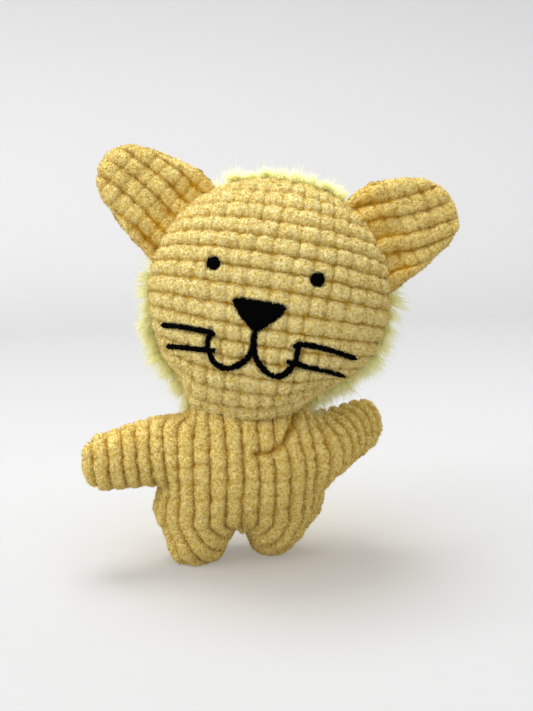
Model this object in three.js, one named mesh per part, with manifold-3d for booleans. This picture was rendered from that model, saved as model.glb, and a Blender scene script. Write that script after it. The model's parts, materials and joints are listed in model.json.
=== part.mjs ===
// A stuffed plush toy: a round cat head with a fur mane panel behind it, cupped ears, an embroidered
// face, and a small gingerbread-shaped body with stub arms and legs. Millimetres, +Z up, the toy
// faces -Y. Left and right are the toy's own, so its right side is at -X.
import * as THREE from 'three';
import { mergeVertices } from 'three/addons/utils/BufferGeometryUtils.js';
import Module from 'manifold-3d';

const wasm = await Module();
wasm.setup();

const { Vector3, Matrix4 } = THREE;
const radians = THREE.MathUtils.degToRad;

// Cloth, filling and clearances
const PLUSH = 2.4; // ribbed plush, pile included
const MANE_BACKING = 2.0; // knitted backing of the mane fur
const EAR_CLOTH = 1.6;
const GAP = 0.3; // between neighbouring solids
const BALL_GAP = 0.6; // between a soft ball and its seat, facets included
const WADDING_GAP = 1.2; // between an ear's wadding and its cloth

// Head
const HEAD_WIDTH = 137;
const HEAD_HEIGHT = 137;
const FACE_DEPTH = 47; // from the head's seam to the front of the face
const MANE_DEPTH = 44; // from the head's seam to the back of the mane panel
const HEAD_SQUARENESS = 2.15; // exponent of the head's outline, 2 is an ellipse
const HEAD_ROLL = 8; // leans towards the toy's left
const HEAD_YAW = -15.5; // looks towards the toy's right
const HEAD_PITCH = 12; // looks up

// Neck
const NECK_RADIUS = 20; // of the gathered neck cloth
const NECK_SINK = 9; // how far the head's bottom reaches below the neck's centre
const NECK_STAND = 10.5; // from the top of the torso to the neck's centre
const NECK_SET_FORWARD = 1.5; // from the middle of the torso's depth
const NECK_BAND_LOW = 15; // the neck cloth's lower and upper edges, from the neck's centre
const NECK_BAND_HIGH = 9;

// Torso
const CROTCH_HEIGHT = 17;
const HIP_HEIGHT = 36;
const CHEST_HEIGHT = 63;
const TORSO_TOP = 78;
const HIP_WIDTH = 98;
const CHEST_WIDTH = 80;
const NECK_WIDTH = 70;
const TORSO_DEPTH = 58;
const TORSO_BOTTOM_ROUND = 15;
const TORSO_TOP_ROUND = 9;
const TORSO_LEAN = 6; // sideways shift of the torso's top against its bottom
const TORSO_TILT = 7; // of the torso's top, towards the toy's left
const TORSO_SQUARENESS = 2.3;

// Arms
const SHOULDER_RADIUS = 17; // outer radius of the shoulder pad
const SHOULDER_PAD = 3; // thickness of the shoulder pad
const SHOULDER_PAD_REACH = 5; // how far the pad's rim stays behind the shoulder's centre
const ARM_CLOTH_REACH = 3; // how far the arm's cloth goes in behind the shoulder's centre
const SHOULDER_STAND = 6; // from the torso's side to the shoulder's centre
const ARM_LENGTH = 47; // from the shoulder's centre to the tip
const ARM_WIDTH = 33;
const ARM_THICKNESS = 27;
const ARM_BLUNTNESS = 4; // exponent of the tip's outline, more is blunter
// setBack moves a joint behind the middle of the torso's depth; raise and back are degrees
const ARMS = {
  right: { side: -1, height: 62, setBack: 0, raise: -2, back: -6 },
  left: { side: 1, height: 60, setBack: 2, raise: 23, back: 26 },
};

// Legs
const HIP_RADIUS = 19;
const LEG_CLOTH_REACH = 3; // how far the leg's cloth goes in above the hip's centre
const HIP_JOINT_HEIGHT = 20;
const LEG_GAP = 8; // between the two hip balls
const LEG_SHIFT = -2; // sideways shift of both legs
const FOOT_WIDTH = 34;
const FOOT_DEPTH = 34;
const FOOT_BLUNTNESS = 6.5;
const SOLE_CUT = 0.5;
// swing sets the foot back, splay sets it outwards, in degrees
const LEGS = {
  right: { side: -1, setBack: 0, swing: -13, splay: 5 },
  left: { side: 1, setBack: 6, swing: 15, splay: -6 },
};

// Ears
const EAR_LENGTH = 54;
const EAR_WIDTH = 58;
const EAR_THICKNESS = 12;
const EAR_BASE_THICKNESS = 4.4;
const EAR_CUP = 4; // the ear's sides stand this far forward of its middle
const EAR_ANGLE = 36; // of the ear's base on the head's rim, above level
const EAR_AXIS_ANGLE = 34; // of the ear's middle line, above level
const EAR_STAND = 1.6; // from the head's rim to the fold line
const EAR_FOLDS = [-25, -12, 0, 12, 24, 35]; // degrees that the base is cut to clear, forward is positive
// back leans the ear behind the head, lean shifts its tip towards the top of the head
const EARS = {
  right: { side: -1, back: 4, lean: -5 },
  left: { side: 1, back: 26, lean: 1.5 },
};

// Embroidery, placed on the face from the head's centre: across, up
const STITCH_RAISE = 1.1;
const EYE_SPACING = 55;
const EYE_HEIGHT = 14.5;
const EYE_DIAMETER = 7.6;
const NOSE_TOP = -2;
const NOSE_WIDTH = 28.5;
const NOSE_HEIGHT = 16;
const NOSE_ROUND = 2.6;
const MOUTH_START = -24.5;
const MOUTH_HALF_WIDTH = 25;
const MOUTH_DROP = 14;
const MOUTH_RISE = 7; // how far the outer ends rise above the mouth's start
const MOUTH_STITCH = 2.8;
const WHISKER_STITCH = 2.4;
const WHISKERS = {
  upper: { height: -20.5, inner: 21.5, outer: 54, droop: 3 },
  lower: { height: -31.5, inner: 20, outer: 50, droop: 4 },
};

// Squeaker
const SQUEAKER_RADIUS = 22;
const SQUEAKER_THICKNESS = 24;
const SQUEAKER_WALL = 1.2;
const SQUEAKER_BEVEL = 4;
const SQUEAKER_TRAVEL = 8;
const SQUEAKER_LAP = 1.5; // how far the cap reaches over the base when it is let go
const SQUEAKER_NECK_LENGTH = 6;
const REED_TUBE_RADIUS = 4;
const REED_TUBE_BORE = 2.4;
const REED_THICKNESS = 0.4;
const REED_FLANGE = 2;
const SQUEAKER_DROP = 4; // below the head's centre

// Materials
const cloth = (colour) => new THREE.MeshStandardMaterial({ color: colour, roughness: 0.95, metalness: 0 });
const ribbedPlush = cloth(0xe6c878);
const maneFur = cloth(0xf3efb4);
const blackThread = new THREE.MeshStandardMaterial({ color: 0x0d0d0e, roughness: 0.6, metalness: 0 });
const fibre = cloth(0xf4f3ef);
const softPlastic = new THREE.MeshStandardMaterial({ color: 0xf1efe6, roughness: 0.45, metalness: 0 });
const hardPlastic = new THREE.MeshStandardMaterial({ color: 0x3f74b5, roughness: 0.35, metalness: 0 });

// Solids from geometries and back
function toSolid(geometry, matrix = new Matrix4()) {
  const bare = geometry.clone();
  bare.deleteAttribute('normal');
  bare.deleteAttribute('uv');
  const merged = mergeVertices(bare.applyMatrix4(matrix), 1e-4);
  return new wasm.Manifold(new wasm.Mesh({
    numProp: 3,
    vertProperties: merged.attributes.position.array,
    triVerts: new Uint32Array(merged.index.array),
  }));
}

// The main body of a solid, without the splinters that a cut along a curved seam leaves
function mainBody(solid) {
  return solid.decompose().reduce((most, body) => (body.volume() > most.volume() ? body : most));
}

function toGeometry(solid) {
  const mesh = solid.getMesh();
  const geometry = new THREE.BufferGeometry();
  geometry.setAttribute('position', new THREE.BufferAttribute(new Float32Array(mesh.vertProperties), 3));
  geometry.setIndex(new THREE.BufferAttribute(mesh.triVerts, 1));
  geometry.computeVertexNormals();
  return geometry;
}

function named(name, shape, material) {
  const mesh = new THREE.Mesh(shape.isBufferGeometry ? shape : toGeometry(shape), material);
  mesh.name = name;
  return mesh;
}

// A closed body through cross-sections. section(s), for s from 0 to 1, gives a section's middle, its
// across and deep directions with half sizes, and its squareness. Across x deep points along the body.
function loft(section, rings, sides) {
  const points = [];
  const first = section(0).middle;
  points.push(first.x, first.y, first.z);
  for (let i = 1; i <= rings; i++) {
    const s = (1 - Math.cos((Math.PI * i) / (rings + 1))) / 2;
    const { middle, across, deep, halfWidth, halfDepth, squareness = 2 } = section(s);
    for (let j = 0; j < sides; j++) {
      const turn = (2 * Math.PI * j) / sides;
      const c = Math.sign(Math.cos(turn)) * Math.abs(Math.cos(turn)) ** (2 / squareness);
      const d = Math.sign(Math.sin(turn)) * Math.abs(Math.sin(turn)) ** (2 / squareness);
      const p = middle.clone()
        .addScaledVector(across, halfWidth * c)
        .addScaledVector(deep, halfDepth * d);
      points.push(p.x, p.y, p.z);
    }
  }
  const last = section(1).middle;
  points.push(last.x, last.y, last.z);
  const faces = [];
  const at = (i, j) => 1 + (i - 1) * sides + (j % sides);
  const end = 1 + rings * sides;
  for (let j = 0; j < sides; j++) {
    faces.push(0, at(1, j + 1), at(1, j));
    for (let i = 1; i < rings; i++) {
      faces.push(at(i, j), at(i, j + 1), at(i + 1, j + 1));
      faces.push(at(i, j), at(i + 1, j + 1), at(i + 1, j));
    }
    faces.push(end, at(rings, j), at(rings, j + 1));
  }
  const geometry = new THREE.BufferGeometry();
  geometry.setAttribute('position', new THREE.BufferAttribute(new Float32Array(points), 3));
  geometry.setIndex(faces);
  return geometry;
}

const ball = (radius, centre = new Vector3()) =>
  toSolid(new THREE.IcosahedronGeometry(radius, 3), new Matrix4().setPosition(centre));

function block(low, high) {
  const size = high.clone().sub(low);
  const middle = high.clone().add(low).multiplyScalar(0.5);
  return toSolid(new THREE.BoxGeometry(size.x, size.y, size.z), new Matrix4().setPosition(middle));
}

const FAR = 400;
// The half of space on one side of a seam in the local XZ plane: front is -Y, back is +Y.
const frontOfSeam = block(new Vector3(-FAR, -FAR, -FAR), new Vector3(FAR, -GAP / 2, FAR));
const backOfSeam = block(new Vector3(-FAR, GAP / 2, -FAR), new Vector3(FAR, FAR, FAR));

// 0 below low, 1 above high, smooth between
const ease = (x, low, high) => THREE.MathUtils.smoothstep(x, low, high);
const mix = (a, b, k) => a + (b - a) * k;
const roundEnd = (x, power, root) => Math.max(0, 1 - Math.max(0, x) ** power) ** (1 / root);
const X = new Vector3(1, 0, 0);
const Y = new Vector3(0, 1, 0);
const Z = new Vector3(0, 0, 1);

// Head, in its own frame: centre at the origin, seam in the XZ plane, face towards -Y
function headSection(inset) {
  return (s) => {
    const turn = Math.PI * s;
    const depth = (s < 0.5 ? MANE_DEPTH : FACE_DEPTH) - inset;
    const spread = Math.sin(turn) ** 0.9;
    return {
      middle: new Vector3(0, depth * Math.cos(turn), 0),
      across: X,
      deep: Z,
      halfWidth: (HEAD_WIDTH / 2 - inset) * spread,
      halfDepth: (HEAD_HEIGHT / 2 - inset) * spread,
      squareness: HEAD_SQUARENESS,
    };
  };
}
const HEAD_RINGS = 12;
const HEAD_SIDES = 28;
const headBlob = (inset) => toSolid(loft(headSection(inset), HEAD_RINGS, HEAD_SIDES));

// Half width of the torso at a height, before its cloth is taken off
function torsoHalfWidth(z) {
  const width = z < CHEST_HEIGHT
    ? mix(HIP_WIDTH, CHEST_WIDTH, ease(z, HIP_HEIGHT, CHEST_HEIGHT))
    : mix(CHEST_WIDTH, NECK_WIDTH, ease(z, CHEST_HEIGHT, TORSO_TOP));
  return width / 2;
}
const torsoShift = (z) => TORSO_LEAN * (z - CROTCH_HEIGHT) / (TORSO_TOP - CROTCH_HEIGHT);

function torsoSection(inset) {
  const bottom = CROTCH_HEIGHT + inset;
  const top = TORSO_TOP - inset;
  return (s) => {
    const z = mix(bottom, top, s);
    const round = roundEnd((bottom + TORSO_BOTTOM_ROUND - z) / TORSO_BOTTOM_ROUND, 2.2, 2.2)
      * roundEnd((z - top + TORSO_TOP_ROUND) / TORSO_TOP_ROUND, 2.2, 2.2);
    const tilt = radians(TORSO_TILT) * ease(z, CROTCH_HEIGHT, TORSO_TOP);
    return {
      middle: new Vector3(torsoShift(z), 0, z),
      across: new Vector3(Math.cos(tilt), 0, -Math.sin(tilt)),
      deep: Y,
      halfWidth: (torsoHalfWidth(z) - inset) * round,
      halfDepth: (TORSO_DEPTH / 2 * mix(1, 0.86, ease(z, HIP_HEIGHT, TORSO_TOP)) - inset) * round,
      squareness: TORSO_SQUARENESS,
    };
  };
}
const torsoBlob = (inset) => toSolid(loft(torsoSection(inset), 10, 24));

// An arm or leg, in its own frame: joint ball at the origin, +Z along the limb, seam in the XZ plane
function limbSection(joint, length, width, thickness, bluntness, inset) {
  return (s) => {
    const along = mix(-joint + inset, length - inset, s);
    const grow = ease(along, 0, length * 0.4);
    const base = Math.sqrt(Math.max(0, (joint - inset) ** 2 - Math.min(0, along) ** 2));
    const tip = roundEnd(along / (length - inset), bluntness, 2);
    return {
      middle: new Vector3(0, 0, along),
      across: X,
      deep: Y,
      halfWidth: mix(base, width / 2 - inset, grow) * tip,
      halfDepth: mix(base, thickness / 2 - inset, grow) * tip,
    };
  };
}

// Cloth of an inset body, split along its seam into a front and a back panel
function panels(blob, thickness, keepClear) {
  const shell = keepClear(blob(0).subtract(blob(thickness)));
  return { front: shell.intersect(frontOfSeam), back: shell.intersect(backOfSeam) };
}

// Neck and head frame
const neckTurn = new THREE.Quaternion().setFromAxisAngle(Y, radians(TORSO_TILT));
const neckCentre = new Vector3(0, 0, NECK_STAND).applyQuaternion(neckTurn)
  .add(new Vector3(torsoShift(TORSO_TOP), -NECK_SET_FORWARD, TORSO_TOP));
const headTurn = new THREE.Quaternion().setFromEuler(
  new THREE.Euler(radians(-HEAD_PITCH), radians(HEAD_ROLL), radians(HEAD_YAW), 'ZXY'));
const headRise = HEAD_HEIGHT / 2 - NECK_SINK;
const neckInHead = new Vector3(0, 0, -headRise);

// Shoulders and hips
function shoulderCentre({ side, height, setBack }) {
  const x = side * (torsoHalfWidth(height) + SHOULDER_STAND) + torsoShift(height);
  return new Vector3(x, setBack, height);
}
function hipCentre({ side, setBack }) {
  return new Vector3(LEG_SHIFT + side * (HIP_RADIUS + LEG_GAP / 2), setBack, HIP_JOINT_HEIGHT);
}
// A limb's turn: its +Z points along the limb, its +Y stays towards the toy's back
function limbTurn(along) {
  const z = along.clone().normalize();
  const x = new Vector3().crossVectors(Y, z).normalize();
  const y = new Vector3().crossVectors(z, x);
  return new THREE.Quaternion().setFromRotationMatrix(new Matrix4().makeBasis(x, y, z));
}
function armDirection({ side, raise, back }) {
  return new Vector3(
    side * Math.cos(radians(raise)) * Math.cos(radians(back)),
    Math.cos(radians(raise)) * Math.sin(radians(back)),
    Math.sin(radians(raise)));
}
function legDirection({ side, swing, splay }) {
  return new Vector3(
    side * Math.sin(radians(splay)),
    Math.sin(radians(swing)),
    -Math.cos(radians(swing)) * Math.cos(radians(splay)));
}

// Torso: two panels and their filling, open at the neck, shoulders and hips
function makeTorso() {
  const group = new THREE.Group();
  group.name = 'torso';
  const seats = [ball(NECK_RADIUS + BALL_GAP, neckCentre)];
  for (const arm of Object.values(ARMS)) seats.push(ball(SHOULDER_RADIUS + BALL_GAP, shoulderCentre(arm)));
  for (const leg of Object.values(LEGS)) seats.push(ball(HIP_RADIUS + BALL_GAP, hipCentre(leg)));
  const keepClear = (solid) => seats.reduce((left, seat) => left.subtract(seat), solid);
  const cut = panels(torsoBlob, PLUSH, keepClear);
  group.add(named('body_front_panel', cut.front, ribbedPlush));
  group.add(named('body_back_panel', cut.back, ribbedPlush));
  group.add(named('body_filling', keepClear(torsoBlob(PLUSH + GAP)), fibre));
  return group;
}

function makeNeck() {
  const group = new THREE.Group();
  group.name = 'neck';
  group.position.copy(neckCentre);
  group.quaternion.copy(neckTurn);
  const band = block(new Vector3(-FAR, -FAR, -NECK_BAND_LOW), new Vector3(FAR, FAR, NECK_BAND_HIGH));
  const inner = NECK_RADIUS - PLUSH;
  group.add(named('neck_sleeve', ball(NECK_RADIUS).subtract(ball(inner)).intersect(band), ribbedPlush));
  group.add(named('neck_filling', ball(inner - BALL_GAP), fibre));
  return group;
}

function makeArm(name, arm) {
  const group = new THREE.Group();
  group.name = `arm_${name}`;
  group.position.copy(shoulderCentre(arm));
  group.quaternion.copy(limbTurn(armDirection(arm)));
  const joint = SHOULDER_RADIUS - SHOULDER_PAD - BALL_GAP;
  const blob = (inset) =>
    toSolid(loft(limbSection(joint, ARM_LENGTH, ARM_WIDTH, ARM_THICKNESS, ARM_BLUNTNESS, inset), 9, 16));
  const beyondShoulder = block(new Vector3(-FAR, -FAR, -ARM_CLOTH_REACH), new Vector3(FAR, FAR, FAR));
  const cut = panels(blob, PLUSH, (shell) => shell.intersect(beyondShoulder));
  group.add(named(`arm_${name}_front`, cut.front, ribbedPlush));
  group.add(named(`arm_${name}_back`, cut.back, ribbedPlush));
  // The filling is one plug with a bare round end in the shoulder
  const clothed = block(new Vector3(-FAR, -FAR, -ARM_CLOTH_REACH - GAP), new Vector3(FAR, FAR, FAR));
  group.add(named(`arm_${name}_filling`, blob(PLUSH + GAP).add(blob(0).subtract(clothed)), fibre));
  const padSpace = block(new Vector3(-FAR, -FAR, -FAR), new Vector3(FAR, FAR, -SHOULDER_PAD_REACH));
  const pad = ball(SHOULDER_RADIUS).subtract(ball(SHOULDER_RADIUS - SHOULDER_PAD)).intersect(padSpace);
  group.add(named(`shoulder_${name}_filling`, pad, fibre));
  return group;
}

function makeLeg(name, leg) {
  const group = new THREE.Group();
  group.name = `leg_${name}`;
  const centre = hipCentre(leg);
  const direction = legDirection(leg);
  group.position.copy(centre);
  group.quaternion.copy(limbTurn(direction));
  group.updateMatrix();
  const length = centre.z / -direction.z + SOLE_CUT;
  const blob = (inset) =>
    toSolid(loft(limbSection(HIP_RADIUS, length, FOOT_WIDTH, FOOT_DEPTH, FOOT_BLUNTNESS, inset), 8, 18));
  const toLocal = group.matrix.clone().invert();
  const floor = (height) => toSolid(
    new THREE.BoxGeometry(FAR, FAR, FAR),
    toLocal.clone().multiply(new Matrix4().setPosition(0, 0, height - FAR / 2)));
  const belowHip = block(new Vector3(-FAR, -FAR, -LEG_CLOTH_REACH), new Vector3(FAR, FAR, FAR));
  const cut = panels(blob, PLUSH, (shell) => shell.intersect(belowHip).subtract(floor(0)));
  group.add(named(`leg_${name}_front`, cut.front, ribbedPlush));
  group.add(named(`leg_${name}_back`, cut.back, ribbedPlush));
  const clothed = block(new Vector3(-FAR, -FAR, -LEG_CLOTH_REACH - GAP), new Vector3(FAR, FAR, FAR));
  const filling = blob(PLUSH + GAP).add(blob(0).subtract(clothed)).subtract(floor(PLUSH + GAP));
  group.add(named(`leg_${name}_filling`, filling, fibre));
  return group;
}

// An ear, in its own frame: fold line along X through the origin, +Z to the tip, front towards -Y.
// It is built flat, then cupped: its sides come forward.
const earCup = (x) => -EAR_CUP * (x / (EAR_WIDTH / 2)) ** 2;
function earSection(inset) {
  return (s) => {
    const length = EAR_LENGTH - inset;
    const along = mix(-4, length, s);
    const share = Math.max(0, along / length);
    const narrow = roundEnd(share, 2.6, 1.63);
    const body = mix(EAR_BASE_THICKNESS, EAR_THICKNESS, ease(along, 0, 18)) / 2;
    return {
      middle: new Vector3(0, 0, along),
      across: X,
      deep: Y,
      halfWidth: Math.max(0.2, EAR_WIDTH / 2 - inset) * narrow,
      halfDepth: Math.max(0.2, body - inset) * roundEnd(share, 3, 2),
    };
  };
}

function earFrame({ side, back }) {
  const base = radians(EAR_ANGLE);
  const n = HEAD_SQUARENESS;
  const reach = ((Math.abs(Math.cos(base)) / (HEAD_WIDTH / 2)) ** n
    + (Math.abs(Math.sin(base)) / (HEAD_HEIGHT / 2)) ** n) ** (-1 / n);
  const from = new Vector3(side * Math.cos(base), 0, Math.sin(base)).multiplyScalar(reach + EAR_STAND);
  const axis = radians(EAR_AXIS_ANGLE);
  const z = new Vector3(side * Math.cos(axis), 0, Math.sin(axis));
  // Both ears keep +Y to the back, so +X runs up the head on the right ear and down it on the left
  const x = new Vector3().crossVectors(Y, z);
  const lean = new Matrix4().makeRotationX(radians(-back));
  return new Matrix4().makeBasis(x, Y, z).setPosition(from).multiply(lean);
}

function makeEar(name, ear) {
  const group = new THREE.Group();
  group.name = `ear_${name}`;
  const frame = earFrame(ear);
  frame.decompose(group.position, group.quaternion, group.scale);
  // The head as the ear meets it at each fold
  const heads = EAR_FOLDS.map((fold) => toSolid(
    loft(headSection(-GAP), HEAD_RINGS, HEAD_SIDES),
    new Matrix4().makeRotationX(radians(-fold)).multiply(frame.clone().invert())));
  const head = heads.reduce((joined, next) => joined.add(next));
  const blob = (inset) => {
    const section = earSection(inset);
    const leaning = (s) => {
      const made = section(s);
      made.middle.x = -ear.side * ear.lean * Math.sin((Math.PI / 2) * Math.max(0, made.middle.z / EAR_LENGTH));
      return made;
    };
    const cupped = toSolid(loft(leaning, 9, 16)).warp((p) => {
      p[1] += earCup(p[0]);
    });
    return cupped.subtract(head);
  };
  const shell = blob(0).subtract(blob(EAR_CLOTH));
  // The seam runs round the cupped edge, so the split follows the cup
  const split = (offset, towards) => {
    const shape = new THREE.Shape();
    const steps = 12;
    for (let i = 0; i <= steps; i++) {
      const x = mix(-0.7, 0.7, i / steps) * EAR_WIDTH;
      if (i) shape.lineTo(x, offset + earCup(x));
      else shape.moveTo(x, offset + earCup(x));
    }
    shape.lineTo(0.7 * EAR_WIDTH, towards * EAR_WIDTH);
    shape.lineTo(-0.7 * EAR_WIDTH, towards * EAR_WIDTH);
    const prism = new THREE.ExtrudeGeometry(shape, { depth: 2 * EAR_LENGTH, bevelEnabled: false });
    return toSolid(prism, new Matrix4().setPosition(0, 0, -EAR_LENGTH / 2));
  };
  group.add(named(`ear_${name}_front`, mainBody(shell.intersect(split(-GAP / 2, -1))), ribbedPlush));
  group.add(named(`ear_${name}_back`, mainBody(shell.intersect(split(GAP / 2, 1))), ribbedPlush));
  group.add(named(`ear_${name}_wadding`, blob(EAR_CLOTH + WADDING_GAP), fibre));
  return group;
}

// A stroke of stitching in the face's plane, as an outline of constant width round a curve
function stroke(points, width) {
  const curve = new THREE.CatmullRomCurve3(points.map(([x, y]) => new Vector3(x, y, 0)));
  const steps = 4 * (points.length - 1);
  const left = [];
  const right = [];
  for (let i = 0; i <= steps; i++) {
    const p = curve.getPoint(i / steps);
    const t = curve.getTangent(i / steps);
    left.push(new THREE.Vector2(p.x - t.y * width / 2, p.y + t.x * width / 2));
    right.push(new THREE.Vector2(p.x + t.y * width / 2, p.y - t.x * width / 2));
  }
  return new THREE.Shape([...left, ...right.reverse()]);
}

// A flat shape on the face, as stitching that lies on the cloth
const onFace = headBlob(-GAP - STITCH_RAISE).subtract(headBlob(-GAP));
function stitched(shape) {
  const prism = new THREE.ExtrudeGeometry(shape, { depth: 2 * FACE_DEPTH, bevelEnabled: false, curveSegments: 6 });
  // The shape's X and Y become the face's X and Z, and the prism runs out of the face
  const place = new Matrix4().makeBasis(X, Z, Y.clone().negate());
  return toSolid(prism, place).intersect(onFace);
}

function makeEmbroidery() {
  const group = new THREE.Group();
  group.name = 'embroidery';
  for (const [name, side] of [['right', -1], ['left', 1]]) {
    const eye = new THREE.Shape().absarc(side * EYE_SPACING / 2, EYE_HEIGHT, EYE_DIAMETER / 2, 0, 2 * Math.PI);
    group.add(named(`eye_${name}`, stitched(eye), blackThread));
  }
  const r = NOSE_ROUND;
  const w = NOSE_WIDTH / 2;
  const tip = NOSE_TOP - NOSE_HEIGHT;
  const nose = new THREE.Shape();
  nose.moveTo(-w + r, NOSE_TOP);
  nose.lineTo(w - r, NOSE_TOP);
  nose.quadraticCurveTo(w + r / 2, NOSE_TOP - r / 2, w - r / 2, NOSE_TOP - 2 * r);
  nose.lineTo(MOUTH_STITCH / 2, tip);
  nose.lineTo(-MOUTH_STITCH / 2, tip);
  nose.lineTo(-w + r / 2, NOSE_TOP - 2 * r);
  nose.quadraticCurveTo(-w - r / 2, NOSE_TOP - r / 2, -w + r, NOSE_TOP);
  group.add(named('nose', stitched(nose), blackThread));

  // The mouth: a short line under the nose, and a hanging curve to each side
  let mouth = stitched(stroke([[0, tip - GAP], [0, MOUTH_START - 2]], MOUTH_STITCH));
  for (const side of [-1, 1]) {
    const curve = [
      [0, MOUTH_START + 1],
      [side * 0.16 * MOUTH_HALF_WIDTH, MOUTH_START - 0.55 * MOUTH_DROP],
      [side * 0.57 * MOUTH_HALF_WIDTH, MOUTH_START - MOUTH_DROP],
      [side * 0.92 * MOUTH_HALF_WIDTH, MOUTH_START - 0.6 * MOUTH_DROP],
      [side * MOUTH_HALF_WIDTH, MOUTH_START],
      [side * 0.96 * MOUTH_HALF_WIDTH, MOUTH_START + MOUTH_RISE],
    ];
    mouth = mouth.add(stitched(stroke(curve, MOUTH_STITCH)));
  }
  // Each whisker crosses the mouth, whose own stitches hold its inner end
  const whiskers = [];
  for (const [row, { height, inner, outer, droop }] of Object.entries(WHISKERS)) {
    for (const [name, side] of [['right', -1], ['left', 1]]) {
      const line = [
        [side * inner, height - 0.3 * droop],
        [side * mix(inner, outer, 0.5), height],
        [side * outer, height - droop],
      ];
      const cut = side * (MOUTH_HALF_WIDTH + MOUTH_STITCH / 2);
      const whole = stitched(stroke(line, WHISKER_STITCH));
      const outside = side < 0
        ? block(new Vector3(-FAR, -FAR, -FAR), new Vector3(cut - GAP, FAR, FAR))
        : block(new Vector3(cut + GAP, -FAR, -FAR), new Vector3(FAR, FAR, FAR));
      const inside = side < 0
        ? block(new Vector3(cut, -FAR, -FAR), new Vector3(0, FAR, FAR))
        : block(new Vector3(0, -FAR, -FAR), new Vector3(cut, FAR, FAR));
      whiskers.push(named(`whisker_${name}_${row}`, whole.intersect(outside), blackThread));
      mouth = mouth.add(whole.intersect(inside));
    }
  }
  group.add(named('mouth_line', mouth, blackThread), ...whiskers);
  return group;
}

// A squeaker: two cups that slide into each other, and a reed in a tube. It turns about Y.
function makeSqueaker() {
  const group = new THREE.Group();
  group.name = 'squeaker';
  group.position.set(0, 0, -SQUEAKER_DROP);
  const half = SQUEAKER_THICKNESS / 2;
  const inner = SQUEAKER_RADIUS - SQUEAKER_WALL;
  const baseRadius = inner - GAP;
  const neck = REED_TUBE_RADIUS + GAP;
  const lathe = (profile, sides) => {
    const closed = [...profile, profile[0]].map(([r, y]) => new THREE.Vector2(r, y));
    return toSolid(new THREE.LatheGeometry(closed, sides));
  };
  // A wall's inner corner at a bevel lies this much further in than its outer one
  const bevelIn = SQUEAKER_BEVEL + SQUEAKER_WALL / 2;
  const capStop = -half + bevelIn;
  const baseRim = capStop + SQUEAKER_TRAVEL + GAP;
  const capRim = baseRim + SQUEAKER_LAP;
  const cap = lathe([
    [0, -half], [SQUEAKER_RADIUS - SQUEAKER_BEVEL, -half], [SQUEAKER_RADIUS, -half + SQUEAKER_BEVEL],
    [SQUEAKER_RADIUS, capRim], [inner, capRim], [inner, capStop],
    [SQUEAKER_RADIUS - bevelIn, -half + SQUEAKER_WALL], [0, -half + SQUEAKER_WALL],
  ], 24);
  const neckEnd = half + SQUEAKER_NECK_LENGTH;
  const base = lathe([
    [baseRadius, baseRim], [baseRadius, half - SQUEAKER_BEVEL], [baseRadius - SQUEAKER_BEVEL, half],
    [neck + SQUEAKER_WALL, half], [neck + SQUEAKER_WALL, neckEnd], [neck, neckEnd],
    [neck, half - SQUEAKER_WALL], [baseRadius - bevelIn, half - SQUEAKER_WALL],
    [baseRadius - SQUEAKER_WALL, half - bevelIn], [baseRadius - SQUEAKER_WALL, baseRim],
  ], 24);
  // The tube's flange sits behind the base's wall and keeps it from being pushed out
  const tubeStart = half - SQUEAKER_WALL - GAP;
  const flange = tubeStart - REED_FLANGE;
  const tube = lathe([
    [REED_TUBE_BORE, flange], [REED_TUBE_RADIUS + REED_FLANGE, flange],
    [REED_TUBE_RADIUS + REED_FLANGE, tubeStart], [REED_TUBE_RADIUS, tubeStart],
    [REED_TUBE_RADIUS, neckEnd], [REED_TUBE_BORE, neckEnd],
  ], 16);
  const reedHalf = REED_TUBE_BORE * Math.cos(Math.PI / 16) - GAP;
  const reed = block(
    new Vector3(-reedHalf, flange + REED_FLANGE / 2, -REED_THICKNESS / 2),
    new Vector3(reedHalf, neckEnd - REED_FLANGE / 2, REED_THICKNESS / 2));
  group.add(named('squeaker_cap', cap, softPlastic));
  group.add(named('squeaker_base', base, softPlastic));
  group.add(named('reed_tube', tube, hardPlastic));
  group.add(named('reed', reed, hardPlastic));
  return group;
}

// The room that the squeaker takes in the head's filling
function squeakerPocket() {
  const half = SQUEAKER_THICKNESS / 2 + GAP;
  const neck = REED_TUBE_RADIUS + SQUEAKER_WALL + 2 * GAP;
  const end = half + SQUEAKER_NECK_LENGTH;
  const wide = SQUEAKER_RADIUS + GAP + 0.3;
  const outline = [[0, -half], [wide, -half], [wide, half], [neck, half], [neck, end], [0, end]];
  const closed = [...outline, outline[0]].map(([r, y]) => new THREE.Vector2(r, y));
  return toSolid(new THREE.LatheGeometry(closed, 24), new Matrix4().setPosition(0, 0, -SQUEAKER_DROP));
}

function makeHead() {
  const group = new THREE.Group();
  group.name = 'head';
  group.quaternion.copy(headTurn);
  group.position.copy(neckCentre).add(new Vector3(0, 0, headRise).applyQuaternion(headTurn));
  const seat = ball(NECK_RADIUS + BALL_GAP, neckInHead);
  const open = (solid) => solid.subtract(seat);
  const outside = headBlob(0);
  const face = open(outside.subtract(headBlob(PLUSH))).intersect(frontOfSeam);
  const mane = open(outside.subtract(headBlob(MANE_BACKING))).intersect(backOfSeam);
  group.add(named('face_panel', face, ribbedPlush));
  group.add(named('mane_panel', mane, maneFur));
  const filling = open(headBlob(PLUSH + GAP)).subtract(squeakerPocket());
  group.add(named('head_filling_front', filling.intersect(frontOfSeam), fibre));
  group.add(named('head_filling_back', filling.intersect(backOfSeam), fibre));
  group.add(makeEmbroidery(), makeSqueaker());
  for (const [name, ear] of Object.entries(EARS)) group.add(makeEar(name, ear));
  return group;
}

const toy = new THREE.Group();
toy.add(makeTorso(), makeNeck(), makeHead());
for (const [name, arm] of Object.entries(ARMS)) toy.add(makeArm(name, arm));
for (const [name, leg] of Object.entries(LEGS)) toy.add(makeLeg(name, leg));

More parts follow.
